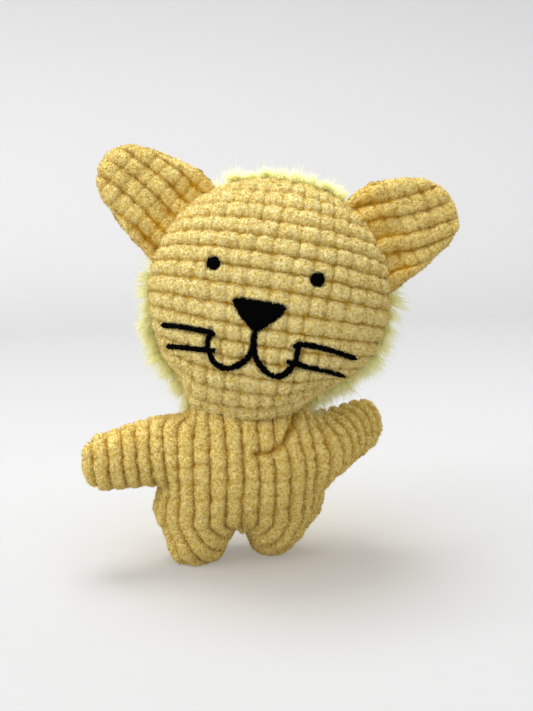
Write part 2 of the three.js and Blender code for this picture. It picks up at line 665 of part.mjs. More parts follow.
// The part's origin is under the middle of its box, on the surface that it stands on
const root = new THREE.Group();
root.add(toy);
root.updateMatrixWorld(true);
const box = new THREE.Box3().setFromObject(root, true);
toy.position.set(-(box.min.x + box.max.x) / 2, -(box.min.y + box.max.y) / 2, -box.min.z);

export default root;
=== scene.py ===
"""A stuffed cat toy with a fur mane: the looks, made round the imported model.

Lengths inside the shape functions are millimetres, and the meshes are written in metres. The body's
cloth is worked out flat, as the sewer's pattern is, then filled out and bent into the toy's pose.
"""
import json

import bpy
import numpy as np
from mathutils import Matrix, Vector
from mathutils.bvhtree import BVHTree

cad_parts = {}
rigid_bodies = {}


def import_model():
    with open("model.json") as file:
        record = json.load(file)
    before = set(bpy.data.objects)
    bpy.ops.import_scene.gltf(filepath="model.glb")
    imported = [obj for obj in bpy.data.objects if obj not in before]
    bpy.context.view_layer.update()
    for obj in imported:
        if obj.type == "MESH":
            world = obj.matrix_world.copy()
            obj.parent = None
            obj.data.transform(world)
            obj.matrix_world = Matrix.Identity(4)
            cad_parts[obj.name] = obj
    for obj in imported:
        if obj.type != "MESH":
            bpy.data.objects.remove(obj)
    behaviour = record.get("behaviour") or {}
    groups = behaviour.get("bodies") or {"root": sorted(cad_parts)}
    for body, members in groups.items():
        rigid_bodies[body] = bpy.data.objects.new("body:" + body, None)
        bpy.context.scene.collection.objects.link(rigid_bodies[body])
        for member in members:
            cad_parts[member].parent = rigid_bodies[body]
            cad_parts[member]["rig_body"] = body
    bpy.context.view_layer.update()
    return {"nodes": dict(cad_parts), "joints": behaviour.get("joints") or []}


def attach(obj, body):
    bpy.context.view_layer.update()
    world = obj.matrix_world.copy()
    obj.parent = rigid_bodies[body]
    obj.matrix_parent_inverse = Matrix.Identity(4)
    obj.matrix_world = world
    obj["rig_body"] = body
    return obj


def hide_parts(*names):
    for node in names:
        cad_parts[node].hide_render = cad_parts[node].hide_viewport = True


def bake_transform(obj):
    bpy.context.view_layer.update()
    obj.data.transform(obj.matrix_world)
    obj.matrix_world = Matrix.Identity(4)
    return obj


bl_info = {
    "name": "Stuffed cat toy",
    "version": (1, 0, 0),
    "blender": (4, 5, 0),
    "location": "3D View > Sidebar > Cat toy",
    "description": "Ribbed plush, fur mane, stitched face and filling of a stuffed cat toy",
    "category": "Object",
}

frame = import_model()
MM = 0.001
SIDES = {"right": -1, "left": 1}
JOINTS = {joint["name"]: joint for joint in frame["joints"]}
NODES = sorted(frame["nodes"])


def joint_place(name):
    """A joint's place in millimetres."""
    return np.array(JOINTS[name]["pos_m"]) / MM


# The toy's measures that the cloth shares with the solids, in millimetres and degrees
NECK = joint_place("head_turn")
HEAD_SIZE = np.array([137.0, 47.0, 137.0])  # across, depth of the face, up
MANE_DEPTH = 44.0
MANE_HALVES = np.array([68.0, 44.0, 68.0])  # of the round whose normal the fur leaves along
HEAD_SQUARENESS = 2.15
HEAD_SPREAD = 0.9
HEAD_RISE = 59.5
HEAD_PITCH, HEAD_ROLL, HEAD_YAW = 12.0, 8.0, -15.5
HIPS = {side: joint_place(f"leg_{side}_swing") for side in SIDES}
SHOULDERS = {side: joint_place(f"arm_{side}_raise") for side in SIDES}
EARS = {side: joint_place(f"ear_{side}_fold") for side in SIDES}
LEG_SHIFT = -2.0
TORSO = np.array([(HIPS["right"][0] + HIPS["left"][0]) / 2 - LEG_SHIFT, HIPS["right"][1], 0.0])

# Pile: the least that a tuft stands up, how deep it starts in the cloth, how far it ends above the floor
PILE_LEAST_UP = 0.3
PILE_SUNK = 0.1
PILE_ABOVE_FLOOR = 0.1

# Cuts across the ribs: how far each is moved by chance, in cells, and how wide one is, in millimetres
CUT_SHIFT = 0.3
CUT_REACH = 3.8

# How far the face's cloth, the mane's backing and the roots of the fur lie within the head's size
FACE_INSET, MANE_INSET, ROOT_INSET = 1.2, 1.4, 1.6

# Face: points along a side of its grid, how much of it is tucked in at the seam, half its flat width
FACE_GRID = 290
FACE_TUCK = 0.02
FACE_REACH = 92.0

# Mane: points along a side of its grid, the share of strands that stand at the seam and where they
# begin, how far round each ear's foot none stands, in degrees, and where that begins; then how long the
# fur is at the seam, as shares over the angle round the head from the toy's left
MANE_GRID = 90
RIM_STRANDS, RIM_FROM = 0.16, 0.93
BARE_WIDTH, BARE_FROM = 30, 0.86
FUR_TRIM = ((-180, -145, -128, -118, -90, -45, 25, 65, 180),
            (1.3, 1.5, 1.0, 0.5, 0.5, 0.5, 0.45, 1.15, 1.3))

# Ears: angle of the tip above level, half width above and below the middle, length, lean of the tip
# across, slant of the ribs, and how far each ear is laid back
EAR_GRID = 150
EAR_ANGLE = 34.0
EAR_HALVES = {"right": (29.6, 30.2), "left": (35.5, 27.5)}
EAR_LENGTH = {"right": 54.0, "left": 51.5}
EAR_LEAN = {"right": -5.0, "left": 1.5}
EAR_SLANT = {"right": 0.07, "left": -0.10}
EAR_BACK = {"right": 4.0, "left": 26.0}

# Filling: the size of its faces in metres, how far it lies behind the cloth, and how much it is drawn
# in within the head
VOXEL, EAR_VOXEL = 0.003, 0.0022
FILLING_DEPTH = {"arm": 4.3, "ear": 1.8}
HEAD_FILLING_SHARE = 0.97

# Stage, in metres and degrees: the camera's way round and up, its place, and its lens for a sensor 1 wide
SKY_STRENGTH = 0.70
LAMP_COLOUR = (0.95, 0.97, 1.0)
LAMPS = (  # name, place, aim, width
    ("key", (-2.3, -0.55, 1.9), (0, 0, 0.12), 2.8),
    ("top", (-0.2, 0.75, 2.7), (0, 0, 0.16), 1.3),
    ("fill", (2.0, -1.5, 1.1), (0, 0, 0.1), 1.6),
)
CAMERA_TURN = (-10, 13)
CAMERA_DISTANCE = 0.620
CAMERA_TARGET = (-0.0042, 0, 0.116)
CAMERA_LENS = 1100 / 711

CLOTH = {}  # the search trees of the body's cloth and of each ear's, for their fillings


def turning(axis, degrees):
    """The 3 by 3 matrix of a turn about an axis."""
    return np.array(Matrix.Rotation(np.radians(degrees), 3, Vector(axis)))


HEAD_TURN = turning((0, 0, 1), HEAD_YAW) @ turning((1, 0, 0), -HEAD_PITCH) @ turning((0, 1, 0), HEAD_ROLL)
HEAD_CENTRE = NECK + HEAD_TURN @ np.array([0, 0, HEAD_RISE])


# Numbers
def ease(x, low, high):
    """0 below low, 1 above high, smooth between: 3t squared minus 2t cubed."""
    t = np.clip((x - low) / (high - low), 0, 1)
    return t * t * (3 - 2 * t)


def mix(a, b, share):
    return a + (b - a) * share


def chance(*keys):
    """A repeatable number from 0 to 1 for whole-number keys: the far digits of a sine."""
    steps = (12.9898, 78.233, 37.719, 9.151)
    total = sum(np.asarray(key, float) * step for key, step in zip(keys, steps))
    return np.modf(np.abs(np.sin(total)) * 43758.5453)[0]


def noise(points, size, seed):
    """Smooth values from -1 to 1: chance at the corners of a lattice of cells of this size, mixed by
    eased distance."""
    place = points / size + seed * 17.13
    cell = np.floor(place)
    part = place - cell
    part = part * part * (3 - 2 * part)
    total = np.zeros(len(points))
    for corner in np.ndindex(2, 2, 2):
        key = cell + corner
        weight = np.prod(np.where(corner, part, 1 - part), axis=1)
        total += weight * chance(key[:, 0], key[:, 1], key[:, 2], seed)
    return total * 2 - 1


def unit(vectors):
    return vectors / np.maximum(np.linalg.norm(vectors, axis=-1, keepdims=True), 1e-9)


def swung(points, pivot, axis, angle):
    """Points turned about an axis through pivot, each by its own angle: cosine times the point, plus sine
    times its cross with the axis, plus one minus cosine times its part along the axis."""
    arm = points - pivot
    c, s = np.cos(angle)[:, None], np.sin(angle)[:, None]
    return pivot + arm * c + np.cross(axis, arm) * s + axis * (arm @ axis)[:, None] * (1 - c)


def bent_towards(points, pivot, old, new, share):
    """Points turned about pivot by the shares of the turn that takes direction old to direction new."""
    axis = unit(np.cross(old, new))
    angle = np.arccos(np.clip(np.dot(old, new), -1, 1))
    return swung(points, pivot, axis, angle * share)


# Meshes
def grid_quads(rows, columns):
    """Quads between neighbouring points of a rows by columns grid."""
    row, column = np.meshgrid(np.arange(rows - 1), np.arange(columns - 1), indexing="ij")
    first = row * columns + column
    return np.stack([first, first + 1, first + columns + 1, first + columns], axis=-1).reshape(-1, 4)


def corner_normals(points, faces):
    """Each point's normal: the sum of its faces' normals, which are the cross of their diagonals."""
    across = points[faces[:, 2]] - points[faces[:, 0]]
    other = points[faces[:, -1]] - points[faces[:, 1]]
    normal = np.cross(across, other)
    total = np.stack([np.bincount(faces.ravel(), np.repeat(normal[:, k], faces.shape[1]), len(points))
                      for k in range(3)], axis=1)
    return unit(total)


def facing(points, quads, outward):
    """The quads, turned over if their normals point against outward, and each point's normal."""
    normals = corner_normals(points, quads)
    if (normals * outward).sum() < 0:
        return quads[:, ::-1], -normals
    return quads, normals


def make_piece(name, points, face_sets, material, values=None):
    """A smooth mesh object of one material from points in millimetres and a list of face arrays."""
    mesh = bpy.data.meshes.new(name)
    corners = np.concatenate([faces.ravel() for faces in face_sets])
    sizes = np.concatenate([np.full(len(faces), faces.shape[1]) for faces in face_sets])
    mesh.vertices.add(len(points))
    mesh.vertices.foreach_set("co", (points * MM).astype(np.float32).ravel())
    mesh.loops.add(len(corners))
    mesh.loops.foreach_set("vertex_index", corners.astype(np.int32))
    mesh.polygons.add(len(sizes))
    mesh.polygons.foreach_set("loop_start", (np.cumsum(sizes) - sizes).astype(np.int32))
    mesh.polygons.foreach_set("loop_total", sizes.astype(np.int32))
    mesh.materials.append(material)
    mesh.polygons.foreach_set("use_smooth", np.full(len(sizes), True))
    for key, value in (values or {}).items():
        attribute = mesh.attributes.new(key, "FLOAT", "POINT")
        attribute.data.foreach_set("value", value.astype(np.float32))
    mesh.update(calc_edges=True)
    mesh.validate()
    piece = bpy.data.objects.new(name, mesh)
    bpy.context.scene.collection.objects.link(piece)
    return piece


def scattered(points, quads, each_square_mm, rng):
    """Places on a mesh's quads, as many to each as its area asks: each is a random mix of the corners
    of one of the quad's two triangles. Gives the triangle's corners and their weights."""
    faces = np.concatenate([quads[:, [0, 1, 2]], quads[:, [0, 2, 3]]])
    a, b, c = (points[faces[:, k]] for k in range(3))
    area = np.linalg.norm(np.cross(b - a, c - a), axis=1) / 2
    total = int(area.sum() * each_square_mm)
    chosen = np.searchsorted(np.cumsum(area), rng.random(total) * area.sum())
    chosen = np.minimum(chosen, len(faces) - 1)
    u, v = rng.random(total), rng.random(total)
    over = u + v > 1
    u[over], v[over] = 1 - u[over], 1 - v[over]
    return faces[chosen], np.stack([1 - u - v, u, v], axis=1)


def pile(points, quads, groove, settings, seed, keep=None):
    """Short plush pile: slim leaning triangles, each from a point on the cloth, along the cloth's
    normal plus a random lean, and shorter in the grooves. Gives their points, faces, how deep in a
    groove each point is, and each tuft's own value."""
    rng = np.random.default_rng(seed)
    corners, weights = scattered(points, quads, settings.pile_density, rng)
    if keep is not None:
        kept = (keep[corners] * weights).sum(axis=1) > 0.5
        corners, weights = corners[kept], weights[kept]
    normals = corner_normals(points, quads)
    root = (points[corners] * weights[..., None]).sum(axis=1)
    normal = unit((normals[corners] * weights[..., None]).sum(axis=1))
    lean = rng.normal(0, 1.0, root.shape)
    way = unit(normal + lean)
    way = unit(way + normal * np.maximum(PILE_LEAST_UP - (way * normal).sum(axis=1), 0)[:, None])
    across = unit(np.cross(way, normal + rng.normal(0, 0.45, root.shape)))
    deep = (groove[corners] * weights).sum(axis=1)
    length = settings.pile_length / MM * rng.uniform(0.55, 1.15, len(root))
    length = length * (1 - 0.75 * ease(deep, 0.3, 0.9))
    half = across * (settings.pile_width / MM * rng.uniform(0.7, 1.3, len(root)))[:, None] / 2
    low = root - normal * PILE_SUNK
    blades = np.stack([low - half, low + half, low + way * length[:, None]], axis=1)
    blades[..., 2] = np.maximum(blades[..., 2], PILE_ABOVE_FLOOR)
    # A tuft's tip gets less of the grooves' painted shade than its foot
    deep = np.stack([deep, deep, np.maximum(deep - 0.2, 0)], axis=1).ravel()
    tuft = np.repeat(rng.random(len(root)), 3)
    return blades.reshape(-1, 3), np.arange(len(root) * 3).reshape(-1, 3), deep, tuft


def cloth_piece(name, points, quads, groove, settings, material, seed, keep=None):
    """A plush piece: the cloth's own quads and the pile that stands on them where keep is 1."""
    blades, blade_faces, blade_groove, blade_tuft = pile(points, quads, groove, settings, seed, keep)
    together = np.concatenate([points, blades])
    values = {"groove": np.concatenate([groove, blade_groove]),
              "tuft": np.concatenate([0.5 + 0.5 * noise(points, 1.6, seed), blade_tuft])}
    return make_piece(name, together, [quads, blade_faces + len(points)], material, values)


# Plush
def even_rows(place, middle, pitch, reach):
    """Which row a place is in, where rows grow wider away from the middle: the integral of one over the
    pitch, which itself grows with the square of the distance."""
    return reach / pitch * np.arctan((place - middle) / reach)


def cell_height(rib, cell, length, seed, cut_depth):
    """Height of ribbed plush from 0 to 1, and how deep in a groove it is, from places counted in ribs
    and in cells of this length. A cell is a cushion: one minus a power of the distance from the rib's
    middle and a higher power of the distance from the cell's, so that its corners are round. The cuts
    across a rib differ a little by chance."""
    row = np.floor(rib)
    number = np.floor(cell)

    def cut(n):
        return n + CUT_SHIFT * (chance(row, n, seed) - 0.5)

    number = number - (cell < cut(number)) + (cell >= cut(number + 1))
    near = np.minimum(cell - cut(number), cut(number + 1) - cell) * length
    strength = mix(0.45, 1.0, chance(row, number, seed + 3)) * cut_depth
    side = np.abs(2 * (rib - row) - 1) ** 2.5
    end = strength * np.clip(1 - near / CUT_REACH, 0, 1) ** 2.2
    height = np.clip(1 - side - end, 0, 1) ** 0.65 * (1 + 0.14 * (chance(row, number, seed + 7) - 0.5))
    return height, 1 - np.clip(1 - side - 0.8 * end, 0, 1) ** 0.6


def fluff(points, seed):
    """Unevenness of the pile in millimetres: three sizes of noise."""
    return (0.34 * noise(points, 4.2, seed) + 0.42 * noise(points, 2.0, seed + 1)
            + 0.24 * noise(points, 1.1, seed + 2))


# Head
def head_spread(x, z):
    """Distance from the head's axis to a point over its rim, as a superellipse."""
    half = HEAD_SIZE / 2
    n = HEAD_SQUARENESS
    return (np.abs(x / half[0]) ** n + np.abs(z / half[2]) ** n) ** (1 / n)


def face_depth(x, z):
    """How far towards -Y the face stands at x, z: depth times the cosine of the turn whose sine, to the
    power of the head's spread, is the distance from the axis."""
    turn = np.arcsin(np.clip(head_spread(x, z), 0, 1) ** (1 / HEAD_SPREAD))
    return -HEAD_SIZE[1] * np.cos(turn)


def dome(share, angle, depth, inset):
    """A point of the head's front or back: share 0 at its middle and 1 at the seam, angle round it."""
    turn = share * np.pi / 2
    spread = np.sin(turn) ** HEAD_SPREAD
    c = np.sign(np.cos(angle)) * np.abs(np.cos(angle)) ** (2 / HEAD_SQUARENESS)
    s = np.sign(np.sin(angle)) * np.abs(np.sin(angle)) ** (2 / HEAD_SQUARENESS)
    half = HEAD_SIZE / 2 - inset
    deep = depth - np.sign(depth) * inset
    return np.stack([half[0] * c * spread, deep * np.cos(turn), half[2] * s * spread], axis=-1)


def disc_grid(count):
    """A square grid of count by count points laid on a disc: concentric squares become circles."""
    a, b = np.meshgrid(np.linspace(-1, 1, count), np.linspace(-1, 1, count), indexing="ij")
    radius = np.maximum(np.abs(a), np.abs(b))
    wide = np.abs(a) >= np.abs(b)
    ratio = np.where(wide, b, a) / np.where(radius == 0, 1, np.where(wide, a, b))
    angle = np.where(wide, ratio * np.pi / 4, np.pi / 2 - ratio * np.pi / 4)
    angle = np.where(np.where(wide, a, b) < 0, angle + np.pi, angle)
    return radius.ravel(), angle.ravel()


def chin(z):
    """How much narrower the head is at height z than the round it is drawn on."""
    return 1 - 0.085 * ease(-z, -18, 52)


# How the head's rim is drawn in, or let out where the share is negative: at which angle round the head
# from the toy's left, by which share, how wide
RIM_PULLS = ((-49, 0.125, 21), (-103, -0.055, 21), (-119, -0.042, 8), (-133, 0.034, 9))
BACK_PULL = (-125, 0.15, 15)  # only behind the seam


def bell(angle, middle, high, wide):
    return high * np.exp(-((angle - middle) / wide) ** 2)


def to_world(points):
    """Head points in the toy's place, after the head is drawn in towards the chin and its rim is drawn in
    or let out here and there, as bells over the angle round the head."""
    x, y, z = points.T
    angle = np.degrees(np.arctan2(z, x))
    rim = ease(head_spread(x, z), 0.6, 1.0)
    pull = 1 - rim * sum(bell(angle, *each) for each in RIM_PULLS)
    pull = pull - rim * ease(y, 0, 14) * bell(angle, *BACK_PULL)
    drawn = np.stack([x * chin(z) * pull, y, z * pull], axis=1)
    return drawn @ HEAD_TURN.T + HEAD_CENTRE


# Stitching on the face, in the head's own plane: across, up
EYE_SPACING, EYE_HEIGHT, EYE_RADIUS = 55.6, 15.0, 3.8
NOSE_TOP, NOSE_WIDTH, NOSE_HEIGHT = -0.5, 29.6, 16.6
MOUTH = {
    "right": np.array([(0, -17), (-0.3, -21.3), (0.1, -24.6), (-1.9, -30.9), (-7.5, -36.3), (-14.9, -38.8),
                       (-21.1, -36.8), (-24.8, -32.1), (-26.1, -26.9), (-25.4, -22.6), (-24.4, -19.6)]),
    "left": np.array([(0, -17), (-0.2, -21.3), (0.1, -24.6), (2.3, -30.4), (6.5, -35.2), (11.2, -38.0),
                      (16.6, -38.6), (21.3, -35.3), (24.1, -30.2), (24.8, -24.6), (24.2, -19.3)]),
}
WHISKERS = {
    "right_upper": np.array([(-20.8, -22.4), (-24.5, -21.2), (-33, -20.9), (-43, -21.0), (-53.5, -21.8)]),
    "right_lower": np.array([(-19.6, -30.4), (-28, -31.0), (-38, -31.9), (-49.2, -33.0)]),
    "left_upper": np.array([(20.6, -21.8), (24.5, -19.9), (33, -19.8), (43.6, -21.2), (55.3, -23.7)]),
    "left_lower": np.array([(18.2, -30.0), (28, -31.0), (38.8, -33.0), (52.8, -36.4)]),
}
STITCH_WIDTH = {"mouth": 3.4, "whisker": 2.9}
THREAD = 0.5
THREAD_POINTS = 3  # across one thread
# Where the edges of a stitched patch and line dip into the cloth, and how much higher their middles stand
PATCH_EDGE, PATCH_RISE = -0.95, 1.25
LINE_EDGE, LINE_RISE = -1.0, 1.45


def smooth_path(knots, step):
    """A curve through knots, cut into equal steps: between two knots a cubic whose slope at each is
    half the way from the knot before it to the knot after it."""
    padded = np.concatenate([[2 * knots[0] - knots[1]], knots, [2 * knots[-1] - knots[-2]]])
    t = np.linspace(0, len(knots) - 1, 40 * len(knots))
    i = np.minimum(t.astype(int), len(knots) - 2)
    f = (t - i)[:, None]
    p0, p1, p2, p3 = (padded[i + k] for k in range(4))
    curve = 0.5 * (2 * p1 + (p2 - p0) * f + (2 * p0 - 5 * p1 + 4 * p2 - p3) * f ** 2
                   + (3 * p1 - p0 - 3 * p2 + p3) * f ** 3)
    length = np.concatenate([[0], np.cumsum(np.linalg.norm(np.diff(curve, axis=0), axis=1))])
    even = np.linspace(0, length[-1], int(length[-1] / step) + 2)
    return np.stack([np.interp(even, length, curve[:, k]) for k in range(2)], axis=1)


def stitched_strokes():
    """Every stitched line of the face with its width: both halves of the mouth and the four whiskers."""
    strokes = {f"mouth_{side}": (knots, STITCH_WIDTH["mouth"]) for side, knots in MOUTH.items()}
    for row, knots in WHISKERS.items():
        wide = knots[:, 0] / chin(knots[:, 1])
        strokes[f"whisker_{row}"] = (np.stack([wide, knots[:, 1]], axis=1), STITCH_WIDTH["whisker"])
    return strokes


def nose_edges(x):
    """The nose's lower and upper edge at x: a rounded triangle that points down."""
    share = np.clip(np.abs(x) / (NOSE_WIDTH / 2), 0, 1)
    top = NOSE_TOP - 0.7 * share ** 2 - 1.5 * ease(share, 0.88, 1.0)
    low = NOSE_TOP - NOSE_HEIGHT * (1 - share ** 1.2) - 2.6 * (1 - ease(share, 0.9, 1.0)) * share - 0.8
    return np.minimum(low, top - 0.2), top


def stitched_mask(x, z):
    """1 on the stitching and just round it, 0 away from it."""
    near = np.full(len(x), 99.0)
    flat = np.stack([x, z], axis=1)
    for knots, width in stitched_strokes().values():
        path = smooth_path(knots, 1.5)
        box = (flat > path.min(axis=0) - 5).all(axis=1) & (flat < path.max(axis=0) + 5).all(axis=1)
        far = np.linalg.norm(flat[box][:, None] - path[None], axis=2).min(axis=1) - width / 2
        near[box] = np.minimum(near[box], far)
    for sign in SIDES.values():
        near = np.minimum(near, np.hypot(x - sign * EYE_SPACING / 2, z - EYE_HEIGHT) - EYE_RADIUS)
    low, top = nose_edges(x)
    outside = np.maximum(np.maximum(low - z, z - top), np.abs(x) - NOSE_WIDTH / 2)
    return 1 - ease(np.minimum(near, outside), -0.5, 1.0)


def stitched_patch(name, xs, low, top, material):
    """A filled patch of upright satin stitches: one column of points for each x between two edges. The
    patch's edge dips into the cloth, and each thread stands up as a ridge."""
    rows = 15
    t = np.linspace(0, 1, rows)
    thread = np.floor(xs / THREAD)
    jitter = 1.4 * (chance(thread, 3) - 0.5)
    z = (low - jitter)[:, None] * (1 - t) + (top + jitter)[:, None] * t
    x = np.repeat(xs[:, None], rows, axis=1)
    edge = np.minimum(t, 1 - t)[None] * (top - low)[:, None]
    side = np.minimum(xs - xs[0], xs[-1] - xs)[:, None]
    edge = np.minimum(edge, side)
    ridge = 0.16 * np.abs(np.cos(np.pi * xs / THREAD))[:, None]
    wave = 0.14 * np.sin(t * 17 + chance(thread, 9)[:, None] * 6)
    rise = PATCH_EDGE + PATCH_RISE * np.clip(edge / 0.9, 0, 1) ** 0.5 + ridge + wave
    return lay_on_face(name, x, z, rise, material)


def lay_on_face(name, x, z, rise, material):
    """A grid on the face at x, z, raised along the face's normal by rise."""
    flat = np.stack([x, face_depth(x, z), z], axis=-1)
    step = 0.5
    dx = (face_depth(x + step, z) - face_depth(x - step, z)) / (2 * step)
    dz = (face_depth(x, z + step) - face_depth(x, z - step)) / (2 * step)
    normal = unit(np.stack([dx, -np.ones_like(dx), dz], axis=-1))
    points = (flat + normal * rise[..., None]).reshape(-1, 3)
    quads = facing(points, grid_quads(*x.shape), normal.reshape(-1, 3))[0]
    return make_piece(name, to_world(points), [quads], material)


def stitched_line(name, knots, width, material):
    """A line of satin stitches: threads laid across a path, each a ridge, in a half-round bead."""
    path = smooth_path(knots, THREAD / THREAD_POINTS)
    way = unit(np.gradient(path, axis=0))
    side = np.stack([-way[:, 1], way[:, 0]], axis=1)
    along = np.arange(len(path)) / THREAD_POINTS
    thread = np.floor(along)
    t = np.linspace(-1, 1, 9)
    half = width / 2 * (1 + 0.55 * (chance(thread, 4) - 0.5))
    half = half * np.clip(np.minimum(along, along[-1] - along) / 2.2, 0.15, 1) ** 0.5
    x = path[:, 0, None] + side[:, 0, None] * half[:, None] * t
    z = path[:, 1, None] + side[:, 1, None] * half[:, None] * t
    ridge = 0.14 * np.abs(np.sin(np.pi * along))[:, None] * (1 - t ** 2)
    rise = LINE_EDGE + LINE_RISE * np.sqrt(np.clip(1 - t ** 2, 0, 1))[None] + ridge
    return lay_on_face(name, x, z, rise, material)


# Materials
class Value:
    """A socket that takes part in Python sums, each of which adds its Math node."""

    def __init__(self, shade, socket):
        self.shade, self.socket = shade, socket

    def math(self, operation, *others):
        return self.shade.node("ShaderNodeMath", {"operation": operation}, [self, *others])

    def __add__(self, other):
        return self.math("ADD", other)

    def __sub__(self, other):
        return self.math("SUBTRACT", other)

    def __mul__(self, other):
        return self.math("MULTIPLY", other)

    def __rsub__(self, other):
        return self.shade.node("ShaderNodeMath", {"operation": "SUBTRACT"}, [other, self])

    def __pow__(self, other):
        return self.math("POWER", other)

    __radd__ = __add__
    __rmul__ = __mul__


class Shade:
    """A material written as Python expressions on its nodes."""

    def __init__(self, name):
        self.material = bpy.data.materials.new(name)
        self.material.use_nodes = True
        self.tree = self.material.node_tree
        self.tree.nodes.clear()
        self.surface = self.tree.nodes.new("ShaderNodeBsdfPrincipled")
        self.output = self.tree.nodes.new("ShaderNodeOutputMaterial")
        self.tree.links.new(self.surface.outputs[0], self.output.inputs["Surface"])

    def node(self, kind, settings=None, values=None, output=0):
        """Adds one node: its settings first, then its sockets' values or links. Gives its output."""
        made = self.tree.nodes.new(kind)
        for key, value in (settings or {}).items():
            setattr(made, key, value)
        pairs = values.items() if isinstance(values, dict) else enumerate(values or [])
        for key, value in pairs:
            self.put(made.inputs[key], value)
        return Value(self, made.outputs[output])

    def put(self, socket, value):
        if isinstance(value, Value):
            self.tree.links.new(value.socket, socket)
        else:
            socket.default_value = value

    def ramp(self, factor, *stops):
        """A colour ramp over factor, from (place, colour) stops."""
        made = self.tree.nodes.new("ShaderNodeValToRGB")
        bar = made.color_ramp.elements
        while len(bar) < len(stops):
            bar.new(0.5)
        for element, (place, colour) in zip(bar, stops):
            element.position, element.color = place, (*colour, 1)
        self.put(made.inputs[0], factor)
        return Value(self, made.outputs[0])

    def blend(self, factor, one, other, way="MIX"):
        """One colour mixed with another by factor. The node has sockets of the same names for every kind
        of value, so those for colours are given by number."""
        return self.node("ShaderNodeMix", {"data_type": "RGBA", "blend_type": way},
                         {0: factor, 6: one, 7: other}, output=2)

    def place(self):
        return self.node("ShaderNodeTexCoord", output="Object")

    def grain(self, size, detail):
        """Noise whose lumps are this many millimetres wide."""
        return self.node("ShaderNodeTexNoise", None,
                         {"Vector": self.place(), "Scale": 1 / MM / size, "Detail": detail})

    def loops(self, size):
        """Curled loops of yarn this many millimetres apart: 1 on each loop's middle, 0 between them."""
        bent = self.node("ShaderNodeVectorMath", {"operation": "ADD"}, [self.place(), self.drift(size)])
        far = self.node("ShaderNodeTexVoronoi", None, {"Vector": bent, "Scale": 1 / MM / size})
        return 1.0 - far * 1.25

    def drift(self, size):
        """A small push each way, so that the loops aren't round."""
        wander = self.node("ShaderNodeTexNoise", None,
                           {"Vector": self.place(), "Scale": 0.7 / MM / size}, output="Color")
        return self.node("ShaderNodeVectorMath", {"operation": "SCALE"},
                         {0: wander, "Scale": size * 0.6 * MM})

    def attribute(self, name):
        return self.node("ShaderNodeAttribute", {"attribute_name": name}, output="Fac")

    def let_light_through(self, share, colour):
        """Mixes in a share of a thin sheet that glows with the light behind it."""
        thin = self.node("ShaderNodeBsdfTranslucent", None, {"Color": colour})
        thick = Value(self, self.surface.outputs[0])
        both = self.node("ShaderNodeMixShader", None, {0: share, 1: thick, 2: thin})
        self.put(self.output.inputs["Surface"], both)

    def finish(self, **sockets):
        """Puts values on the surface's sockets, with underscores for spaces."""
        for key, value in sockets.items():
            self.put(self.surface.inputs[key.replace("_", " ")], value)
        return self.material

    def bump(self, height, distance_mm, strength):
        return self.node("ShaderNodeBump", None,
                         {"Height": height, "Distance": distance_mm * MM, "Strength": strength})


def solid_colour(colour):
    return (*colour, 1.0)


def plush_material(name, settings, warmth=0.0):
    """Ribbed plush: pale on the ribs, with painted shade, deep and warm, in the grooves, mottled, with a
    fine curl.
    """
    shade = Shade(name)
    top = solid_colour(settings.plush_colour)
    warm = solid_colour(settings.warm_colour)
    groove = shade.attribute("groove")
    tuft = shade.attribute("tuft")
    mottle = shade.grain(9.0, 2.0)
    curl = shade.loops(1.5)
    top = shade.blend(warmth, top, warm)
    # Painted shade: the grooves' colour, turned by warmth towards the warmer crease colour, stands in for
    # the shade and the light bounced deep between the ribs
    deep = shade.blend(warmth, solid_colour(settings.groove_shade_colour), solid_colour(settings.crease_shade_colour))
    light = shade.blend(mottle * 0.4, top, warm)
    # The groove attribute paints that shade in, the more the deeper the groove
    colour = shade.blend((groove ** 1.5) * 0.95, light, deep)
    fleck = shade.ramp(tuft * 0.35 + curl * 0.7, (0.12, (0.76, 0.64, 0.24)), (0.48, (0.94, 0.90, 0.64)),
                       (0.88, (1, 1, 1)))
    colour = shade.blend(1.0, colour, fleck, "MULTIPLY")
    return shade.finish(Base_Color=colour, Roughness=0.92, Normal=shade.bump(curl, 0.7, 0.9),
                        Sheen_Weight=0.12, Sheen_Roughness=0.5, Sheen_Tint=(1.0, 0.93, 0.72, 1.0),
                        Specular_IOR_Level=0.1)


def fur_material(name, settings):
    """Long fur: paler towards the tips, and a little darker strand by strand. What shines through it is
    one even colour between those of the roots, the tips and the darker strands."""
    shade = Shade(name)
    along = shade.attribute("along")
    strand = shade.attribute("strand")
    root, tip, dark = (np.array(solid_colour(colour)) for colour in (
        settings.root_colour, settings.tip_colour, settings.shade_colour))
    colour = shade.blend(along, root, tip)
    colour = shade.blend(strand * 0.35, colour, dark)
    shade.let_light_through(0.6, mix(mix(root, tip, 0.45), dark, 0.18))
    return shade.finish(Base_Color=colour, Roughness=0.6, Specular_IOR_Level=0.2)


def thread_material(name, settings):
    """Black thread: a dull shine with faint grey fibres."""
    shade = Shade(name)
    fibre = shade.grain(0.35, 3.0)
    black = solid_colour(settings.thread_colour)
    grey = solid_colour([c * 2.4 for c in settings.thread_colour])
    return shade.finish(Base_Color=shade.blend(fibre * 0.6, black, grey), Roughness=fibre * 0.3 + 0.55,
                        Normal=shade.bump(fibre, 0.08, 0.6), Specular_IOR_Level=0.012)


def wadding_material(name):
    """Polyester wadding: off-white, with soft clumps of fibre."""
    shade = Shade(name)
    clump = shade.grain(7.0, 4.0)
    fibre = shade.grain(0.8, 4.0)
    colour = shade.blend(clump, (0.78, 0.77, 0.74, 1), (0.92, 0.92, 0.9, 1))
    return shade.finish(Base_Color=colour, Roughness=0.95, Sheen_Weight=0.3,
                        Normal=shade.bump(clump + fibre, 0.8, 0.9))


